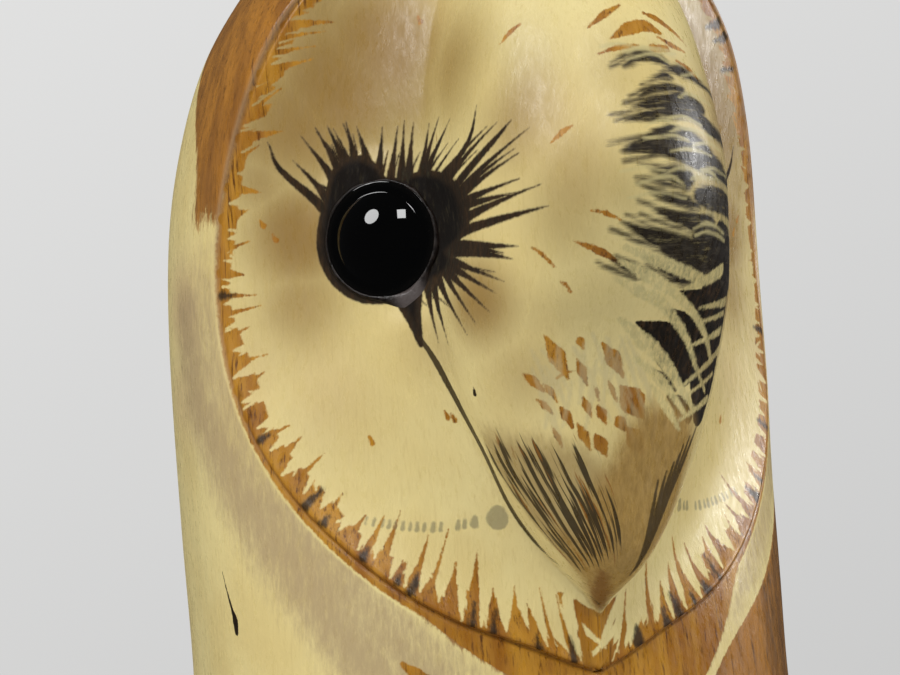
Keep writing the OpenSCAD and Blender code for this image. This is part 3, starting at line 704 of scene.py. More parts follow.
def paint_fringe(side):
    """Cream strokes from the face to the rim, with wedges of stained wood left between them."""
    turn = 10.0
    while turn < 178:
        low, high = step(105, 160, turn), step(84, 66, turn)
        far = 0.45 * (side > 0) * step(140, 120, turn)
        lean = random.uniform(-1.5, 1.0) - 2.0 * low - 4.5 * high
        width = random.uniform(1.2, 2.7)
        short = 0.3 + 1.2 * random.random() ** 1.5 + 0.9 * low * random.random()
        root, tip = inside_rim(turn + lean, 6.5 + 2 * low, side), inside_rim(turn, short, side)
        middle = inside_rim(turn + lean * 0.5, (6.5 + short) / 2, side)
        canvas.stroke("cream", [root, middle, tip], (width * 1.1, width * 1.1, width * 0.7, 0.25), 2.5)
        for _ in range(2):
            hair = inside_rim(turn + random.uniform(-1.8, 1.8), short + random.uniform(-0.3, 2.5), side)
            canvas.stroke("cream", [middle, hair], (width * 0.6, 0.5, 0.3), 2.5)
        gap = random.uniform(0.5, 1.7) * (1 - 0.6 * far)
        deep = (random.uniform(2.0, 5.5) + (6.5 * low + 1.5 * high) * random.random()) * (1 - far)
        beside = turn + (width + gap) * 0.55
        wedge = [inside_rim(beside + part * lean, 0.5 + part * (deep - 0.5), side) for part in (0, 0.5, 1)]
        canvas.stroke("fleck", wedge, (gap * 1.2, gap, gap * 0.5, 0.12), 2.5)
        if random.random() < 0.22 + 0.25 * low:
            spot = [inside_rim(beside, random.uniform(0.3, 0.8), side),
                    inside_rim(beside + 0.2 * lean, random.uniform(1.6, 3.4), side)]
            canvas.stroke("spot", spot, (random.uniform(0.9, 1.8), 0.4), 2.5)
        turn += (width + gap) * random.uniform(1.0, 1.25)


def paint_ridge():
    """Bars, lattice and bare flecks on the ridge between the eyes."""
    for path, widths in BARS:
        path = path + [(17, path[-1][1] - 1.5)] if path[-1][0] > 9 else path
        canvas.stroke("bar", path, [w * 1.4 for w in widths])
        for _ in range(2):
            drop = random.uniform(-0.6, 0.6) * max(widths)
            first, last = random.uniform(-1.8, 0.5), random.uniform(-1, 1.5)
            streak = [(phi + first + (last - first) * k / len(path), z + drop)
                      for k, (phi, z) in enumerate(path)]
            canvas.stroke("bar", streak, (0.35, random.uniform(0.6, 1.1), 0.35))
    for path, widths in DARKS:
        canvas.stroke("dark", path, [w * 1.35 for w in widths])
    for _ in range(22):
        z = random.uniform(-9, 17)
        first = random.uniform(-5, 6)
        bend = random.uniform(0.2, 1.0)
        path = [(first, z - bend), (first + random.uniform(2, 4), z),
                (first + random.uniform(5, 8), z - bend * 1.3)]
        canvas.stroke("pale", path, (0.3, random.uniform(0.4, 0.7), 0.3))
    for path, widths in HATCHES:
        canvas.stroke("hatch", path, widths)
    for _ in range(26):
        start = np.array((random.uniform(-16, 1), random.uniform(-28, -20)))
        lean = random.choice([-1, 1])
        end = start + (lean * random.uniform(1.2, 3.0) + 1.5, -random.uniform(5, 10))
        path = [start, (start + end) / 2 + (0.2, 0.1), end]
        canvas.stroke("wash", path, (0.35, random.uniform(0.6, 1.1), 0.35))
    for a, b, c, d, width in FLECKS:
        path = [(a, b), ((a + c) / 2, (b + d) / 2 + 0.2), (c, d)]
        canvas.stroke("fleck", path, (0.2, width * 1.2, 0.3))
    for path, widths in CURVED_FLECKS:
        canvas.stroke("fleck", path, widths)


def paint_beak():
    """Brown beak, and the share of the way across it that its fine dark lines follow down."""
    z = canvas.grid_z
    outer, inner = curve(BEAK_OUTER, z), curve(BEAK_INNER, z)
    share = (canvas.grid_phi - outer) / (inner - outer)
    start = -27.5 - 3.0 * np.clip(share, 0, 1)
    lines = step(-0.04, 0.04, share) * step(1.2, 0.8, share) * step(start, start - 8, z)
    canvas.layer("comb", 0.0)[:] = lines * step(-54, -50 + 5 * np.clip(share, 0, 1), z)
    canvas.layer("reed", 0.0)[:] = np.clip(share, -1, 2)
    for k in range(7):
        start = 12.5 - 1.3 * k + random.uniform(-0.5, 0.5)
        path = [(start, -33 - 1.1 * k), (start * 0.74, -38.5 - k), (start * 0.5, -43 - k),
                (start * 0.25, -49 - 0.5 * k)]
        canvas.stroke("grass", path, (0.4, random.uniform(0.7, 1.3), 0.8, 0.35))
    canvas.stroke("beak", [(5, -36), (2, -43), (-2, -49), (-1, -56)], (14, 16, 11, 3), 4.5)
    canvas.stroke("beak", [(-10, -46), (-5.5, -51), (-1.5, -56)], (2, 4, 2), 4.5)
    canvas.stroke("red", [(-3.5, -51.5), (-2, -54.5), (-0.6, -56.6)], (1.5, 3, 1.5), 2.5)


# The row of dots under the cheek: angle and width. Bare places on the cheek: angle and height.
DOTS = [(46.4, 0.4), (45, 0.5), (43.4, 0.4), (42.2, 0.6), (41, 0.4), (39.6, 0.6), (38.2, 0.5), (36.8, 0.7),
        (35.4, 0.6), (33.6, 0.8), (32, 0.6), (28.4, 0.8), (27, 0.7), (24.9, 1.2), (20.2, 3.1)]
CHEEK_FLECKS = [(65.5, -2.1), (63.5, -4.2), (45.2, -33), (27.4, -30.4), (28.7, -30), (30.6, 24)]


def paint_marks(side):
    """Dots under the cheek, and small flecks and a speck above them."""
    for phi, width in DOTS:
        z = -43.6 - 1.2 * math.sin(math.radians((phi - 20) * 7))
        canvas.stroke("dot", [(side * phi, z - 0.35), (side * (phi - 0.2), z + 0.5)], (width, width * 0.7))
    for phi, z in CHEEK_FLECKS:
        canvas.stroke("fleck", [(side * phi, z), (side * (phi + 0.6), z + 0.9)], (0.8, 0.3))
    canvas.stroke("speck", [(side * 23.4, -26.1), (side * 23.3, -27.1)], (0.25, 0.7))


# The tan and olive spots above the eye are painted shade of the hollow there; the others are airbrushed
# tints.
# Airbrushed tints and painted shade of the face: degrees from the front, height, radius in mm and strength.
TAN_TINTS_AND_SHADE = [(59, -4, 10, 1.0), (65, 4, 8, 0.7), (66, 15, 9, 0.45), (58, 12, 13, 0.95), (49, 17, 13, 1.1),
             (50, 25, 12, 0.8), (40, 22, 12, 1.15), (35, 15, 9, 0.75), (59, -13, 9, 0.75),
             (62, -14, 12, 0.45), (15, 7, 9, 0.7), (10, 1, 9, 0.55), (16, -25, 7, 0.5), (50, -30, 12, 0.3),
             (25, 17, 10, 0.6), (52, 30, 11, 0.35), (12, -5, 8, 0.35), (22, -15, 7, 0.95),
             (31, -20, 8, 0.45), (14, -18, 6, 0.35), (63, -16, 8, 0.35), (54, -24, 9, 0.2),
             (30, -26, 7, 0.25), (17, 8, 8, 0.4), (5, 13, 7, 0.25)]
OLIVE_TINTS_AND_SHADE = [(38, 16, 12, 0.8), (24, 16, 10, 0.7), (11, -6, 8, 0.5), (8, -16, 8, 0.4), (3, 11, 7, 0.45),
               (5, -3, 5, 0.4), (15, 15, 9, 0.4)]
PINK_SPOTS = [(54, -25, 9, 0.35), (12, 6, 7, 0.3), (70, -24, 8, 0.4), (60, 24, 7, 0.4), (87, -12, 9, 0.6),
              (90, -26, 9, 0.5)]


def paint_tints(side):
    """Airbrushed tints of one half of the face, with painted shade in the hollow above the eye."""
    for name, spots in (("tan", TAN_TINTS_AND_SHADE), ("olive", OLIVE_TINTS_AND_SHADE), ("pink", PINK_SPOTS)):
        for phi, z, radius, strength in spots:
            canvas.tint(name, side * phi, z, radius, strength)


# Edges of the stain on the left shoulder: height by degrees from the front.
STAIN_TOP = [(20, -76), (29, -68), (40, -61), (51, -54), (70, -38), (90, -14), (110, 14), (125, 60)]
STAIN_BOTTOM = [(20, -76), (30, -84), (45, -96), (58, -114), (66, -140), (72, -260)]
STAIN_LAG = 95                      # how many degrees further round it starts on the right


def shoulder_stain(angle, z):
    """Where the stained back shows, 0 to 1: it sweeps forward and down over each shoulder."""
    lead = np.where(angle > 0, angle, -angle - STAIN_LAG)
    inside = np.minimum(curve(STAIN_TOP, lead) - z, z - curve(STAIN_BOTTOM, lead))
    drift = 4 * np.sin(z / 13) + 2 * np.sin(z / 5)
    return np.maximum(step(-1.0, 1.0, inside), step(104, 122, np.abs(angle) + drift))


def bark_cover(stain, angle):
    """Share of the stained wood that dark bark-like streaks cover: less in front."""
    return stain * (0.25 + 0.35 * step(34, 52, np.abs(angle)))


# The brushed blush that sweeps down below the right cheek: angle and height.
BLUSH = [(-84, -14), (-81, -26), (-72, -37), (-63, -46), (-55, -53), (-48, -60), (-42, -66), (-36, -73)]


def bare_strip(turn):
    """Width in mm of the bare wood left just outside the rim: it widens below the cheeks."""
    return 0.15 + 1.3 * step(95, 150, turn)


def waves(turn, broad, fine):
    """A wandering line round the disc, in mm."""
    return broad * np.sin(np.radians(turn * 7)) + fine * np.sin(np.radians(turn * 17 + 40))


def paint_shell(edge, turn):
    """The column outside the rim: crown band, blush under the cheeks, and stained shoulders."""
    outside = -edge
    angle = signed(canvas.grid_phi)
    # The stained band over the crown, widest at the top.
    wide = 8.0 + 28 * step(83, 58, turn) + waves(turn, 1.2, 0.8)
    crown = step(95, 80, turn) * step(-0.15, 0.2, outside) * step(wide + 3.5, wide - 2.5, outside)
    # Bare wood outside the disc's point, deeper on the left.
    deep = step(140, 176, turn) * (6 + 8 * step(-7, 5, angle))
    low = step(135, 145, turn) * step(deep + 2, deep - 2, outside) * (outside > 0)
    low = low * step(-78, -71, canvas.grid_z)
    stain = shoulder_stain(angle, canvas.grid_z) * step(6.5, 8.5, outside)
    canvas.layer("band", 0.0)[:] = np.maximum.reduce([0.85 * crown, 0.9 * low, stain])
    canvas.cover("fleck", np.clip((0.6 - low) * 4, -1, FAR))
    canvas.stroke("fleck", [(-39.5, -62.4), (-37, -63.8), (-33.5, -65)], (0.6, 1.7, 0.5), 2.5)
    canvas.layer("blush", 0.0)[:] = 0.7 * step(80, 100, turn) * step(10, 4, outside)
    knots = np.linspace(0, 1, len(BLUSH))
    for share in np.linspace(0, 1, 24):
        phi, z = (np.interp(share, knots, [place[k] for place in BLUSH]) for k in (0, 1))
        canvas.tint("blush", phi, z, 7 - 1.5 * share, 1.0)
        canvas.tint("blush", phi + 7 * share, z + 3 * share, 6, 0.9)
    canvas.layer("blush")[:] *= (1 - low) * step(0.0, 0.5, outside - bare_strip(turn))
    # Painted shade along the groove round the disc's rim, strongest under the disc's lower edge, which
    # stands out from the breast.
    sharp = 0.25 + 0.25 * step(100, 140, turn)
    canvas.layer("groove", 0.0)[:] = np.exp(-(edge / sharp) ** 2) * (0.45 + 0.25 * step(95, 130, turn))
    # Painted highlight: a pale line on the column's edge just outside the rim, along the sides and the top.
    canvas.layer("lip", 0.0)[:] = np.exp(-((outside - 0.15) / 0.25) ** 2) * step(140, 105, turn)
    canvas.layer("bark", 0.0)[:] = bark_cover(stain, angle)
    drop = [(-76.4, -50.2), (-75.2, -53), (-73.9, -55.6), (-73.2, -57), (-73, -58.6)]
    canvas.stroke("speck", drop, (0.15, 0.3, 0.6, 1.3, 0.9))


# Cream strokes that cross the rim below the beak.
CHIN = [[(-13, -54), (-7, -57.5), (1.5, -62.5)], [(-17, -55), (-11, -58.5), (-6.5, -62.5)],
        [(9, -56), (5, -59.5), (-3, -64)], [(8, -54), (4, -58), (-0.5, -62.6)],
        [(13, -56), (9, -60), (5, -63.4)]]


def paint_head():
    """All the paint on the head, from the cream coat to the last strokes."""
    angle = signed(canvas.grid_phi)
    edge = disc_edge(angle, canvas.grid_z)
    turn, _ = disc_polar(angle, canvas.grid_z)
    edge = np.where(np.abs(canvas.grid_phi) > 105, -40, edge)     # the back is well outside the rim
    fringe = 2.3 + 1.9 * step(105, 160, turn) + 4.0 * step(158, 176, turn) + 0.8 * waves(turn, 0.7, 0.5)
    canvas.cover("cream", np.clip(fringe - edge, -FAR, FAR))
    canvas.cover("cream", np.clip(bare_strip(turn) + edge, -FAR, FAR))
    paint_shell(edge, turn)
    for side in (-1, 1):
        paint_tints(side)
        paint_fringe(side)
        paint_lashes(side)
        paint_marks(side)
    paint_ridge()
    paint_beak()
    for path in CHIN:
        canvas.stroke("cream", path, (1.8, 1.5, 1.2, 0.4), 2.5)


paint_head()
head = rings_piece("head_carving", canvas.points, ["head"])
canvas.keep(head)
head.data.materials.append(face_material())

# --- Eyes ---
EYE_RADIUS, EYE_BACK = 8.0, 4.5           # glass behind the face, and how deep it goes
COLLAR = 6.3                              # radius at which the dome ends and its flatter collar begins
DOME_DROP = 0.65                          # how far the glass sits back
PUTTY_INNER, PUTTY_OUTER = 7.8, 8.25      # radii of the putty's ring
CORNER, CORNER_TIP = 153, 155             # bearings of the eye's corner and of the tip of its tear duct
# Section of the putty: share of the way from the inner to the outer edge, and height.
PUTTY_SECTION = [(0, 0.30), (0.15, 0.42), (0.35, 0.45), (0.6, 0.38), (0.85, 0.15), (1, -0.35), (0.6, -0.9),
                 (0.2, -1.0)]


def eye_place(side, across, up, out):
    """Point of an eye's own frame: towards the beak, up, and out along the way it looks, in mm."""
    a = math.radians(EYE_TURN)
    x = EYE_SIDE + out * math.sin(a) - across * math.cos(a)
    y = -EYE_AHEAD - out * math.cos(a) - across * math.sin(a)
    return np.stack([side * x, y, EYE_HEIGHT + up], -1)


def glass_material():
    """Black glass with a barely lighter rim."""
    shade = Shade("eye glass")
    haze = shade.noise(1.5, (1, 1, 1), 2.0, 0.5)
    rim = shade.ramp(shade.field("rim"), 0.86, 0.96)
    color = shade.mix(shade.math("MULTIPLY", rim, haze), (0.0003, 0.0003, 0.0003), (0.003, 0.0025, 0.002))
    dust = shade.noise(0.25, (1, 1, 1), 2.0, 0.8)
    shade.set(Base_Color=color, Roughness=shade.ramp(dust, 0.70, 0.80, 0.015, 0.12), IOR=1.5)
    return shade.material


def putty_material():
    """Dark putty round the glass, dragged out into the eye's corner."""
    shade = Shade("eye putty")
    mottle = shade.noise(0.8, (1, 1, 1), 4.0, 0.65)
    color = shade.mix(shade.ramp(mottle, 0.35, 0.7), (0.004, 0.002, 0.001), (0.022, 0.013, 0.009))
    color = shade.paint(color, shade.ramp(shade.field("corner"), 0.15, 0.8), (0.085, 0.068, 0.062))
    shade.set(Base_Color=color, Roughness=shade.ramp(mottle, 0.3, 0.7, 0.28, 0.5),
              Normal=shade.bump(mottle, 0.12))
    return shade.material


def apart(bearing, other):
    """Degrees from one bearing to another, -180 to 180."""
    return (bearing - other + 180) % 360 - 180


def add_eye(side, name, glass, putty):
    """Dome of glass in its flatter collar, and the ring of putty round it."""
    columns = 144
    turns = round_turns(columns)
    sink = math.sqrt(DOME_RADIUS**2 - (EYE_OPENING / 2) ** 2)
    falls = np.linspace(math.asin(COLLAR / DOME_RADIUS), 0.006, 36)
    top = DOME_RADIUS * math.cos(falls[0]) - sink - DOME_DROP
    section = [(EYE_RADIUS - 0.3, -EYE_BACK), (EYE_RADIUS, -EYE_BACK + 0.3), (EYE_RADIUS, top - 0.5)]
    section += [(r, top - 0.12 * (r - COLLAR) ** 1.3)
                for r in np.linspace(EYE_RADIUS - 0.05, COLLAR + 0.1, 8)]
    section += [(DOME_RADIUS * math.sin(a), DOME_RADIUS * math.cos(a) - sink - DOME_DROP)
                for a in falls]
    rings = [eye_place(side, r * np.sin(turns), r * np.cos(turns), np.full(columns, h))
             for r, h in section]
    dome = rings_piece(name + "_glass", rings, [name])
    add_field(dome, "rim", np.repeat([r / EYE_RADIUS for r, h in section], columns))
    dome.data.materials.append(glass)
    bearing = np.degrees(turns)
    corner = np.exp(-(apart(bearing, CORNER) / 17) ** 2)
    tip = np.exp(-(apart(bearing, CORNER_TIP) / 8) ** 2)
    below = 0.5 - 0.5 * np.cos(np.radians(bearing + 20))
    uneven = 0.12 * np.sin(5 * turns + side) + 0.08 * np.sin(11 * turns)
    outer = PUTTY_OUTER + 0.35 * below + uneven + 2.6 * corner + 2.2 * tip
    rows = [(PUTTY_INNER + (outer - PUTTY_INNER) * part, height * (1 - 0.35 * corner))
            for part, height in PUTTY_SECTION]
    ring = np.stack([eye_place(side, r * np.sin(turns), r * np.cos(turns), h) for r, h in rows])
    putty_piece = loop_piece(name + "_rim", ring, [name + "_putty"])
    add_field(putty_piece, "corner", np.tile(corner, len(rows)))
    putty_piece.data.materials.append(putty)


glass, putty = glass_material(), putty_material()
add_eye(-1, "right_eye", glass, putty)
add_eye(1, "left_eye", glass, putty)

# --- Body: cream breast with tear-drop specks, stained back ---
BODY_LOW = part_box("body")[0].z * 1000 - DATUM
FOLD = 0.5                           # how much deeper the gouge marks are on the back


def body_radius(phi, z):
    """The column with shallow gouge marks, deeper on the back."""
    around = np.minimum(phi % 360, 360 - phi % 360)
    marks = np.sin(np.radians(phi * 9) + 0.35 * z) * np.sin(0.55 * z + np.radians(phi * 4))
    return column(around, z) - 0.12 * (1 - marks) * step(-80, -95, z) * (0.4 + FOLD * step(60, 110, around))


def body_material():
    """Cream breast with specks, and the stained back."""
    shade = Shade("painted body")
    dry = shade.noise(0.6, (1.2, 1.2, 5), 5.0, 0.75, 6.0)
    edge = shade.noise(0.55, (1, 1, 1.3), 4.0, 0.65)
    color = cream_coat(shade)
    bark = shade.ramp(shade.broken("bark", dry, 0.7), 0.75, 1.15, 0.0, 0.85)
    stain = shade.paint(stained_wood(shade, *STAIN), bark, BARK)
    band = shade.ramp(shade.broken("band", dry, 0.9), 0.80, 1.05, 0.0, 0.95)
    color = shade.paint(color, band, stain)
    color = shade.paint(color, shade.brushed("speck", edge, 0.2, 0.1), (0.020, 0.013, 0.008))
    shade.set(Base_Color=color)
    varnish(shade)
    return shade.material


def add_body():
    """Breast and back below the glue joint, with rows of specks that stop at the wings."""
    phi = np.linspace(0, 360, int(480 / FINE) + 1)[:-1]
    z = np.linspace(BODY_LOW, JOINT - 0.05, int(360 / FINE))
    coat = Canvas(body_radius, phi, z)
    angle = signed(coat.grid_phi)
    stain = shoulder_stain(angle, coat.grid_z)
    coat.layer("band", 0.0)[:] = stain
    coat.layer("bark", 0.0)[:] = bark_cover(stain, angle)
    for name in ("tan", "olive", "pink"):
        coat.layer(name, 0.0)
    for row in range(11):
        height = JOINT - 9 - 9.6 * row
        for k in range(-6, 7):
            centre = 11.5 * (k + 0.5 * (row % 2)) + random.uniform(-2.5, 2.5)
            place = height + random.uniform(-2, 2)
            if abs(centre) > 62:
                continue
            size = random.uniform(0.8, 1.7)
            path = [(centre % 360 + random.uniform(-0.6, 0.6), place + 4),
                    (centre % 360, place + 1), (centre % 360, place)]
            coat.stroke("speck", path, (0.2, size * 0.6, size))
    for _ in range(26):
        coat.tint(random.choice(["tan", "olive", "pink"]), random.uniform(-80, 80) % 360,
                  random.uniform(-190, -86), random.uniform(7, 14), random.uniform(0.2, 0.5))
    piece = rings_piece("body_carving", coat.points, ["body"])
    coat.keep(piece)
    piece.data.materials.append(body_material())


# --- Feathers carved on the wings and the tail ---
FEATHER_STEP = 0.55                  # mm that a feather's end stands above the row below


def feathers(across, along, rows, columns, width):
    """Relief, height above the feather's end and distance from its spine, all in mm.

    across runs from 0 to 1, along is a height in mm and rows are the heights of the rows' ends,
    the lowest first; width is how wide the carving is in mm.
    """
    relief, above, spine = (np.zeros_like(along) for _ in range(3))
    for k, (end, following) in enumerate(zip(rows, list(rows[1:]) + [rows[-1] + 12])):
        place = across * columns + 0.5 * (k % 2)
        off = place - np.floor(place) - 0.5
        hang = (following - end) * 0.28 * (1 - (2 * np.abs(off)) ** 2.2)
        over = along - (end - hang)
        inside = over >= 0 if k else np.ones_like(over, bool)
        length = (following - end) * 1.28
        vein = np.exp(-((off * width / columns) / 0.35) ** 2)
        rise = FEATHER_STEP * (1 - np.clip(over / length, 0, 1))
        rise = rise - 0.18 * vein - 0.12 * (2 * np.abs(off)) ** 6
        relief = np.where(inside, rise, relief)
        above = np.where(inside, over, above)
        spine = np.where(inside, off * width / columns, spine)
    return relief, above, spine


def feather_material(name, light, dark):
    """Stained feathers with pale dry-brushed ends, dark bars and a dark spine."""
    shade = Shade(name)
    dry = shade.noise(0.7, (1.2, 1.2, 4), 5.0, 0.75, 6.0)
    clouds = shade.noise(9.0, (1, 1, 1.5), 4.0, 0.6, 3.0)
    color = stained_wood(shade, light, shade.mix(clouds, dark, light))
    grey = shade.ramp(clouds, 0.48, 0.68)
    color = shade.paint(color, shade.math("MULTIPLY", grey, shade.ramp(dry, 0.35, 0.6)), (0.16, 0.15, 0.13))
    above, spine = shade.field("above"), shade.field("spine")
    wave = shade.math("SINE", shade.math("MULTIPLY_ADD", dry, 1.4, shade.math("MULTIPLY", above, 0.9)))
    color = shade.paint(color, shade.ramp(wave, 0.45, 0.9, 0.0, 0.75), (0.045, 0.022, 0.010))
    end = shade.ramp(shade.math("MULTIPLY_ADD", dry, 1.6, above), 0.9, 1.9, 1.0, 0.0)
    color = shade.paint(color, end, (0.58, 0.47, 0.24), 0.85)
    color = shade.paint(color, shade.ramp(shade.math("ABSOLUTE", spine), 0.12, 0.4, 0.75, 0.0),
                        (0.03, 0.018, 0.008))
    shade.set(Base_Color=color)
    varnish(shade, 0.34, 0.06)
    return shade.material


# The wing's front and back edges: the angle at each height.
WING_FRONT = [(-208, 156), (-196, 140), (-174, 112), (-154, 92), (-134, 78), (-114, 68), (-100, 66),
              (-92, 74), (-88, 92)]
WING_BACK = [(-208, 170), (-184, 176), (-144, 174), (-114, 170), (-98, 160), (-90, 134), (-88, 112)]
WING_STRAIGHT, WING_HANG = -164, 0.22    # below this height the wing leaves the body, at this slope
WING_GAP = 0.25                          # mm between the wing and the body
WING_ROWS = [-208, -184, -162, -144, -130, -119, -110, -102, -95]


def both_faces(outer, inner):
    """Rings that run along the outer face and come back along the inner one."""
    return np.concatenate([outer, inner[:, ::-1]], 1)


def mark_feathers(piece, above, spine):
    """Stores the feathers' fields on both faces of a piece."""
    for field, values in (("above", above), ("spine", spine)):
        add_field(piece, field, both_faces(values, values).ravel())


def add_wing(side, name, material):
    """Wing of carved feathers on the CAD's outline: outer face, then the inner one."""
    columns = int(160 / FINE)
    z = np.linspace(-208, -88, int(260 / FINE))
    share, height = np.meshgrid(np.linspace(0, 1, columns), z)
    front, back = curve(WING_FRONT, height), curve(WING_BACK, height)
    phi = front + (back - front) * share
    hanging = column(phi, WING_STRAIGHT) - WING_HANG * (WING_STRAIGHT - height)
    flank = column(phi, height)
    inner = WING_GAP + np.where(height > WING_STRAIGHT, flank, np.maximum(flank, hanging))
    tip = np.clip(np.minimum((height + 214) / 40, (-84 - height) / 14), 0, 1)
    relief, above, spine = feathers(share + (height + 88) / 900, height, WING_ROWS, 6.0, 74.0)
    fade = np.clip(6 * np.sin(np.pi * share), 0, 1) * tip
    outer = inner + 0.8 + 3.2 * np.sqrt(tip) * np.sin(np.pi * share) + (relief - 0.3) * fade
    a = np.radians(both_faces(phi, phi))
    r = both_faces(outer, inner)
    rings = np.stack([side * r * np.sin(a), -r * np.cos(a), both_faces(height, height)], -1)
    piece = rings_piece(name + "_feathers", rings, [name])
    mark_feathers(piece, above, spine)
    piece.data.materials.append(material)


def add_tail(material):
    """Blade of the tail with five carved feathers on each face."""
    low, high = (v * 1000 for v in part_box("tail"))
    middle, thick, half = (low.y + high.y) / 2, (high.y - low.y) / 2, (high.x - low.x) / 2
    top = BODY_LOW + DATUM
    z = low.z + (top + 3 - low.z) * (1 - np.cos(np.linspace(0, math.pi / 2, int(70 / FINE))))
    across, height = np.meshgrid(np.linspace(-1, 1, int(90 / FINE)), z)
    drop = np.clip((top - height) / (1.5 * (half + 1)), 0, 1)
    width = np.minimum(half, (half + 1) * np.sqrt(np.maximum(1 - drop**2, 0.03)))
    relief, above, spine = feathers((across + 1) / 2, height, [low.z, low.z + 13], 5.0, 2 * half)
    round_off = np.sqrt(np.clip(1 - across**6, 0, 1))
    depth = (thick - 0.5) * round_off * np.clip((height - low.z + 1) / 6, 0.25, 1)
    depth = depth + (relief - 0.3) * round_off
    x = across * width
    rings = both_faces(np.stack([x, middle + depth, height - DATUM], -1),
                       np.stack([x, middle - depth, height - DATUM], -1))
    piece = rings_piece("tail_feathers", rings, ["tail"])
    mark_feathers(piece, above, spine)
    piece.data.materials.append(material)


# --- Legs, feet and claws ---
FOOT_SIDE, FOOT_Y = 18, -6           # middle of a foot
TOE_ANGLES = (-128, -90, -52, 82)    # three toes forward and one back
TOE_SCALES = (0.86, 1, 0.86, 0.6)    # their lengths as shares of the longest
TOE_LENGTH, TOE_RADIUS = 21, 3.6
BASE_LOW, BASE_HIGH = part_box("base")
BASE_TOP = BASE_HIGH.z * 1000
LEG_FOOT = 27                        # height of a foot's top above the table


def tubes_piece(name, tubes, replaced, material):
    """Several closed tubes in one mesh, each given as rings of points in mm above the table."""
    points, faces, start = [], [], 0
    for rings in tubes:
        own_points, own_faces = capped_tube(np.asarray(rings, float) - (0, 0, DATUM))
        points.append(own_points)
        faces.append(own_faces + start)
        start += len(own_points)
    piece = mesh_piece(name, np.concatenate(points), np.concatenate(faces), replaced)
    piece.data.materials.append(material)
    return piece


def digit(side, toe, path, columns=24):
    """Rings round a toe's path of (distance, height, radius), flattened a little underneath."""
    turn = math.radians(TOE_ANGLES[toe] + side * 6)
    a = round_turns(columns)
    rings = []
    for away, height, radius in path:
        across, rise = radius * np.cos(a), radius * np.sin(a)
        rise = np.where(rise < 0, rise * 0.94, rise)
        x = side * FOOT_SIDE + away * math.cos(turn) - across * math.sin(turn)
        y = FOOT_Y + away * math.sin(turn) + across * math.cos(turn)
        rings.append(np.stack([x, y, BASE_TOP + height + rise], -1))
    return rings


def toe_path(length):
    """Toe with knuckles and rings of scutes."""
    path = []
    for s in np.linspace(0, 1, 46):
        radius = TOE_RADIUS * (1 - 0.3 * s) * (1 + 0.1 * math.cos(4 * math.pi * s))
        radius -= 0.12 * abs(math.sin(40 * s))
        radius *= math.sqrt(max(1 - ((s - 0.86) / 0.15) ** 2, 0.25)) if s > 0.86 else 1
        path.append((length * s, 0.1 + radius * 0.94 + 1.6 * (1 - s) * s, radius))
    return path


def claw_path(length):
    """Claw at the end of a toe of that length, bent down to a point."""
    path = []
    for s in np.linspace(0, 1, 24):
        radius = 1.85 * (1 - 0.9 * s)
        path.append((length - 1 + 7.2 * math.sin(math.radians(75 * s)),
                     0.2 + radius + 1.9 * math.cos(math.pi / 2 * s) * (1 - s), radius))
    return path


def skin_material():
    """Scaly skin of the feet."""
    shade = Shade("foot skin")
    scales = shade.node("ShaderNodeTexVoronoi", {"Vector": shade.place, "Scale": 900.0},
                        feature="DISTANCE_TO_EDGE")
    mottle = shade.noise(1.6, (1, 1, 1), 4.0, 0.6)
    color = shade.mix(shade.ramp(mottle, 0.35, 0.7), (0.34, 0.25, 0.14), (0.20, 0.13, 0.07))
    lines = shade.ramp(scales.outputs[0], 0.0, 0.12, 0.7, 0.0)
    color = shade.paint(color, lines, (0.06, 0.035, 0.018))
    shade.set(Base_Color=color, Roughness=shade.ramp(mottle, 0.3, 0.7, 0.35, 0.55),
              Normal=shade.bump(shade.ramp(scales.outputs[0], 0.0, 0.15), 0.15))
    return shade.material


def horn_material():
    """Glossy black enamel of the claws."""
    shade = Shade("claw paint")
    streaks = shade.noise(0.8, (1, 1, 1), 4.0, 0.6)
    color = shade.mix(streaks, (0.010, 0.008, 0.007), (0.05, 0.04, 0.032))
    shade.set(Base_Color=color, Roughness=shade.ramp(streaks, 0.3, 0.7, 0.2, 0.4),
              Normal=shade.bump(streaks, 0.05))
    return shade.material


def down_material():
    """Cream down of the legs with darker furrows."""
    shade = Shade("leg down")
    hairs = shade.noise(0.6, (1, 1, 7), 5.0, 0.7)
    clouds = shade.noise(5.0, (1, 1, 1), 3.0, 0.5)
    color = shade.mix(shade.ramp(clouds, 0.3, 0.7), CREAM, CREAM_LIGHT)
    color = shade.paint(color, shade.ramp(hairs, 0.48, 0.75, 0.0, 0.7), (0.30, 0.19, 0.07))
    shade.set(Base_Color=color)
    varnish(shade, 0.38, 0.12)
    return shade.material


# The ankle: heights above the base, and radii.
ANKLE = [(0.1, 6.8), (0.6, 7.4), (3, 7.3), (6, 6.8), (9.2, 6.4)]


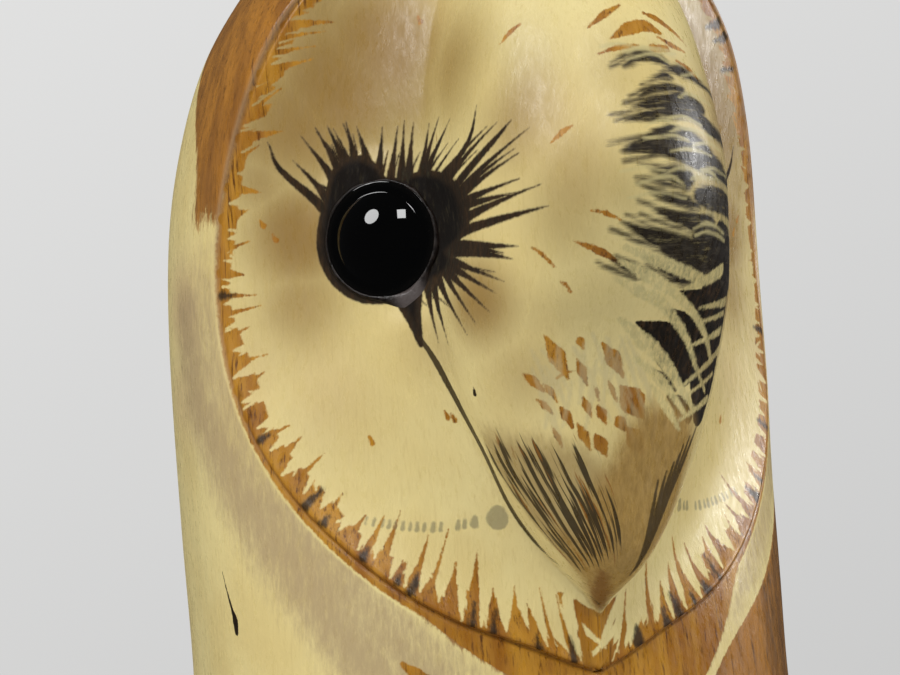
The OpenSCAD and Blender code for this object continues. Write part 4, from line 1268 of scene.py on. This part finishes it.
def add_legs():
    """Downy legs, scaly feet and their claws; all the claws are one piece, as in the CAD."""
    skin, horn, down = skin_material(), horn_material(), down_material()
    claws = []
    for side, name in ((-1, "right"), (1, "left")):
        a = round_turns(96)
        rings = []
        top = BODY_LOW + DATUM
        for s in np.linspace(0, 1, 44):
            tufts = 1 + 0.045 * np.cos(14 * a + 3 * math.sin(5 * s)) + 0.02 * np.cos(31 * a + 9 * s)
            r = (7 + 3.5 * s * s + 0.5 * math.sin(12 * s)) * tufts
            z = LEG_FOOT - 0.5 + (top + 1 - LEG_FOOT) * s
            rings.append(np.stack([side * FOOT_SIDE + r * np.cos(a), FOOT_Y + 1.1 * r * np.sin(a),
                                   z + 0.5 * np.cos(7 * a)], -1))
        tubes_piece(name + "_leg_down", [rings], [name + "_leg"], down)
        ankle = [np.stack([side * FOOT_SIDE + r * np.cos(a), FOOT_Y + r * np.sin(a),
                           0 * a + BASE_TOP + z], -1) for z, r in ANKLE]
        toes = [digit(side, k, toe_path(TOE_LENGTH * TOE_SCALES[k])) for k in range(4)]
        tubes_piece(name + "_foot_skin", [ankle] + toes, [name + "_foot"], skin)
        claws += [digit(side, k, claw_path(TOE_LENGTH * TOE_SCALES[k]), 20) for k in range(4)]
    tubes_piece("claws", claws, ["talons"], horn)


# --- Base, felt and the parts inside ---
def base_material():
    """Dark turned wood: rings of growth across the top, worn and paler on the edges."""
    shade = Shade("turned base")
    grain = shade.noise(1.1, (14, 1, 1), 5.0, 0.65)
    broad = shade.noise(9.0, (5, 1, 1), 3.0, 0.5, 5.0)
    color = shade.mix(shade.ramp(broad, 0.3, 0.7), (0.16, 0.062, 0.020), (0.27, 0.12, 0.038))
    color = shade.paint(color, shade.ramp(grain, 0.48, 0.7), (0.055, 0.020, 0.007))
    wear = shade.math("MULTIPLY", shade.field("edge"), shade.ramp(shade.noise(3.0), 0.4, 0.65))
    color = shade.paint(color, wear, (0.42, 0.24, 0.09), 0.6)
    normal = shade.bump(grain, 0.06)
    shade.set(Base_Color=color, Roughness=shade.ramp(broad, 0.3, 0.7, 0.24, 0.4), Normal=normal)
    return shade.material


def add_base():
    """Turned disc: foot, hollow and rounded edges, with two fine grooves round the top."""
    radius = (BASE_HIGH.x - BASE_LOW.x) * 500
    low = BASE_LOW.z * 1000
    quarter = np.radians(np.linspace(0, 90, 12))
    profile = [(radius - 1.2, low), (radius - 0.4, low + 0.5), (radius, low + 1.2), (radius, low + 4)]
    profile += [(radius - 4.5 + 4.5 * math.cos(a), low + 4.5 + 3 * math.sin(a)) for a in quarter]
    profile += [(radius - 6, low + 7.6), (radius - 6.5, low + 8.2)]
    profile += [(radius - 11 + 4.5 * math.cos(a), BASE_TOP - 4.5 + 4.5 * math.sin(a)) for a in quarter]
    for r in np.arange(radius - 12, 2, -0.5):
        groove = 0.5 * math.exp(-((r - (radius - 15)) / 0.6) ** 2)
        groove += 0.35 * math.exp(-((r - (radius - 18)) / 0.5) ** 2)
        profile.append((r, BASE_TOP - groove))
    a = round_turns(192)
    rings = [np.stack([r * np.cos(a), r * np.sin(a), 0 * a + z], -1) for r, z in profile]
    piece = tubes_piece("base_turning", [rings], ["base"], base_material())
    edge = [math.exp(-((r - radius) / 1.0) ** 2) + math.exp(-((r - radius + 7.8) / 1.2) ** 2)
            for r, _ in profile]
    add_field(piece, "edge", np.repeat(edge, len(a)))


def inner_material(name, light, dark, size, metal=0.0, rough=0.5, stretch=(1, 1, 1), depth=0.05):
    """Grained or brushed finish of a part that hardly shows."""
    shade = Shade(name)
    grain = shade.noise(size, stretch, 5.0, 0.7)
    color = shade.mix(shade.ramp(grain, 0.35, 0.7), light, dark)
    gloss = shade.ramp(grain, 0.3, 0.7, rough - 0.1, rough + 0.1)
    shade.set(Base_Color=color, Metallic=metal, Roughness=gloss, Normal=shade.bump(grain, depth))
    return shade.material


def dress_nodes():
    """Materials for the CAD nodes that stay."""
    beech = inner_material("dowel beech", (0.55, 0.36, 0.17), (0.38, 0.22, 0.09), 0.7, stretch=(1, 1, 20))
    wire = inner_material("eye wire", (0.45, 0.43, 0.40), (0.25, 0.23, 0.20), 0.4, 1.0, 0.35)
    steel = inner_material("plated steel", (0.52, 0.52, 0.50), (0.36, 0.35, 0.33), 1.2, 1.0, 0.32)
    felt = inner_material("green felt", (0.020, 0.075, 0.035), (0.010, 0.040, 0.018), 0.5, 0.0, 0.9,
                          depth=0.25)
    finish = {"neck_dowel": beech, "wing_pegs": beech, "right_eye_stem": wire, "left_eye_stem": wire,
              "leg_rods": steel, "rod_washers": steel, "rod_nuts": steel, "felt_pad": felt}
    for name, material in finish.items():
        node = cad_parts[name]
        for k in range(len(node.data.materials)):
            node.data.materials[k] = material


add_body()
plumage = feather_material("stained feathers", (0.46, 0.21, 0.045), (0.20, 0.085, 0.02))
add_wing(-1, "right_wing", plumage)
add_wing(1, "left_wing", plumage)
add_tail(plumage)
add_legs()
add_base()
dress_nodes()

# --- Stage, light and camera ---
CAMERA_TURN, CAMERA_TILT, CAMERA_ROLL = 22, -2, -3      # degrees
CAMERA_DISTANCE, CAMERA_LENS = 262, 66.3                # mm
AIM_SIDE, AIM_HEIGHT = -3.87, -17.94                    # mm to the camera's right, and from the datum


def add_camera():
    """Camera that looks up at the head from close by, a little to the owl's right."""
    turn, tilt, roll = (math.radians(v) for v in (CAMERA_TURN, CAMERA_TILT, CAMERA_ROLL))
    back = Vector((-math.sin(turn) * math.cos(tilt), -math.cos(turn) * math.cos(tilt), math.sin(tilt)))
    level = Vector((math.cos(turn), -math.sin(turn), 0))
    up = back.cross(level)
    right = level * math.cos(roll) + up * math.sin(roll)
    top = up * math.cos(roll) - level * math.sin(roll)
    aim = level * AIM_SIDE + Vector((0, 0, DATUM + AIM_HEIGHT))
    data = bpy.data.cameras.new("camera")
    data.lens, data.sensor_width = CAMERA_LENS, 36
    data.clip_start = 0.01
    camera = bpy.data.objects.new("camera", data)
    place = Matrix((right, top, back)).transposed().to_4x4()
    place.translation = (aim + back * CAMERA_DISTANCE) / 1000
    camera.matrix_world = place
    bpy.context.scene.collection.objects.link(camera)
    bpy.context.scene.camera = camera


def add_light(name, bearing, height, distance, power, size, round_lamp=True, gloss=True, wash=True):
    """Soft lamp aimed at the head from a bearing and height in degrees, at a distance in metres.

    The bearing is an angle as for the carving. gloss says whether the lamp shows in shine, and wash
    whether it lights the surface.
    """
    data = bpy.data.lights.new(name, "AREA")
    data.energy = power
    data.shape = "ELLIPSE" if round_lamp else "RECTANGLE"
    data.size, data.size_y = size
    light = bpy.data.objects.new(name, data)
    a, b = math.radians(bearing), math.radians(height)
    away = Vector((math.sin(a) * math.cos(b), -math.cos(a) * math.cos(b), math.sin(b)))
    light.location = Vector((0, 0, DATUM / 1000)) + away * distance
    light.rotation_mode = "QUATERNION"
    light.rotation_quaternion = away.to_track_quat("Z", "Y")
    light.visible_glossy, light.visible_diffuse = gloss, wash
    bpy.context.scene.collection.objects.link(light)


def floor_material():
    """Pale floor that fades into the studio's backdrop away from the owl."""
    shade = Shade("pale floor")
    dust = shade.noise(6.0, (1, 1, 1), 4.0, 0.6)
    color = shade.mix(dust, (0.60, 0.60, 0.60), (0.66, 0.66, 0.655))
    away = shade.node("ShaderNodeVectorMath", {0: shade.place}, operation="LENGTH").outputs["Value"]
    shade.set(Base_Color=color, Roughness=0.7, Alpha=shade.ramp(away, 0.25, 0.9, 1.0, 0.0))
    return shade.material


def add_stage():
    """Round floor of rings, finer towards the owl."""
    ring_points = 64
    radii = 0.1 * 1.5 ** np.arange(7)
    turns = round_turns(ring_points)
    points = [(0, 0, 0)] + [(r * math.cos(a), r * math.sin(a), 0) for r in radii for a in turns]
    faces = [(0, 1 + j, 1 + (j + 1) % ring_points) for j in range(ring_points)]
    for k in range(len(radii) - 1):
        a = 1 + ring_points * k
        b = a + ring_points
        faces += [(a + j, b + j, b + (j + 1) % ring_points, a + (j + 1) % ring_points)
                  for j in range(ring_points)]
    mesh = bpy.data.meshes.new("floor")
    mesh.from_pydata(points, [], faces)
    mesh.materials.append(floor_material())
    piece = bpy.data.objects.new("floor", mesh)
    bpy.context.scene.collection.objects.link(piece)
    piece.visible_glossy = False


ROOM_LIGHT, ROOM_SHINE = 0.42, 0.04       # the room's light on the owl, and its brightness in reflections
BACKDROP = 0.668                          # brightness of the backdrop, seen level
BACKDROP_SLOPE = (-0.085, 0.034, 0.24)    # how it brightens with the direction's x, y and z


def add_world():
    """Pale backdrop for the camera; a dimmer room for the light that falls and shines on the owl."""
    world = bpy.data.worlds.new("studio")
    bpy.context.scene.world = world
    world.use_nodes = True
    tree = world.node_tree
    new, link = tree.nodes.new, tree.links.new
    rays = new("ShaderNodeLightPath").outputs
    seen, room = tree.nodes["Background"], new("ShaderNodeBackground")
    seen.inputs["Color"].default_value = (1.0, 1.0, 0.994, 1)
    slope = new("ShaderNodeVectorMath")
    slope.operation = "DOT_PRODUCT"
    link(new("ShaderNodeTexCoord").outputs["Generated"], slope.inputs[0])
    slope.inputs[1].default_value = BACKDROP_SLOPE
    glow = new("ShaderNodeMath")
    glow.inputs[1].default_value = BACKDROP
    link(slope.outputs["Value"], glow.inputs[0])
    link(glow.outputs[0], seen.inputs["Strength"])
    room.inputs["Color"].default_value = (0.93, 0.96, 1.0, 1)
    level = new("ShaderNodeMapRange")
    link(rays["Is Glossy Ray"], level.inputs["Value"])
    level.inputs["To Min"].default_value = ROOM_LIGHT
    level.inputs["To Max"].default_value = ROOM_SHINE
    link(level.outputs[0], room.inputs["Strength"])
    pick = new("ShaderNodeMixShader")
    link(rays["Is Camera Ray"], pick.inputs[0])
    link(room.outputs[0], pick.inputs[1])
    link(seen.outputs[0], pick.inputs[2])
    link(pick.outputs[0], tree.nodes["World Output"].inputs["Surface"])


add_camera()
add_stage()
add_world()
add_light("round_lamp", -72, 34, 1.0, 4.0, (0.36, 0.36))
add_light("square_lamp", -20, 38, 1.0, 2.2, (0.20, 0.24), round_lamp=False)
add_light("window", 74, 14, 1.2, 4.6, (0.04, 0.45), round_lamp=False)
add_light("glint", 74, 14, 1.21, 4.0, (0.04, 0.45), round_lamp=False, wash=False)
add_light("ceiling", 10, 72, 1.3, 4.5, (1.2, 1.2), gloss=False)
bpy.context.scene.view_settings.view_transform = "Standard"
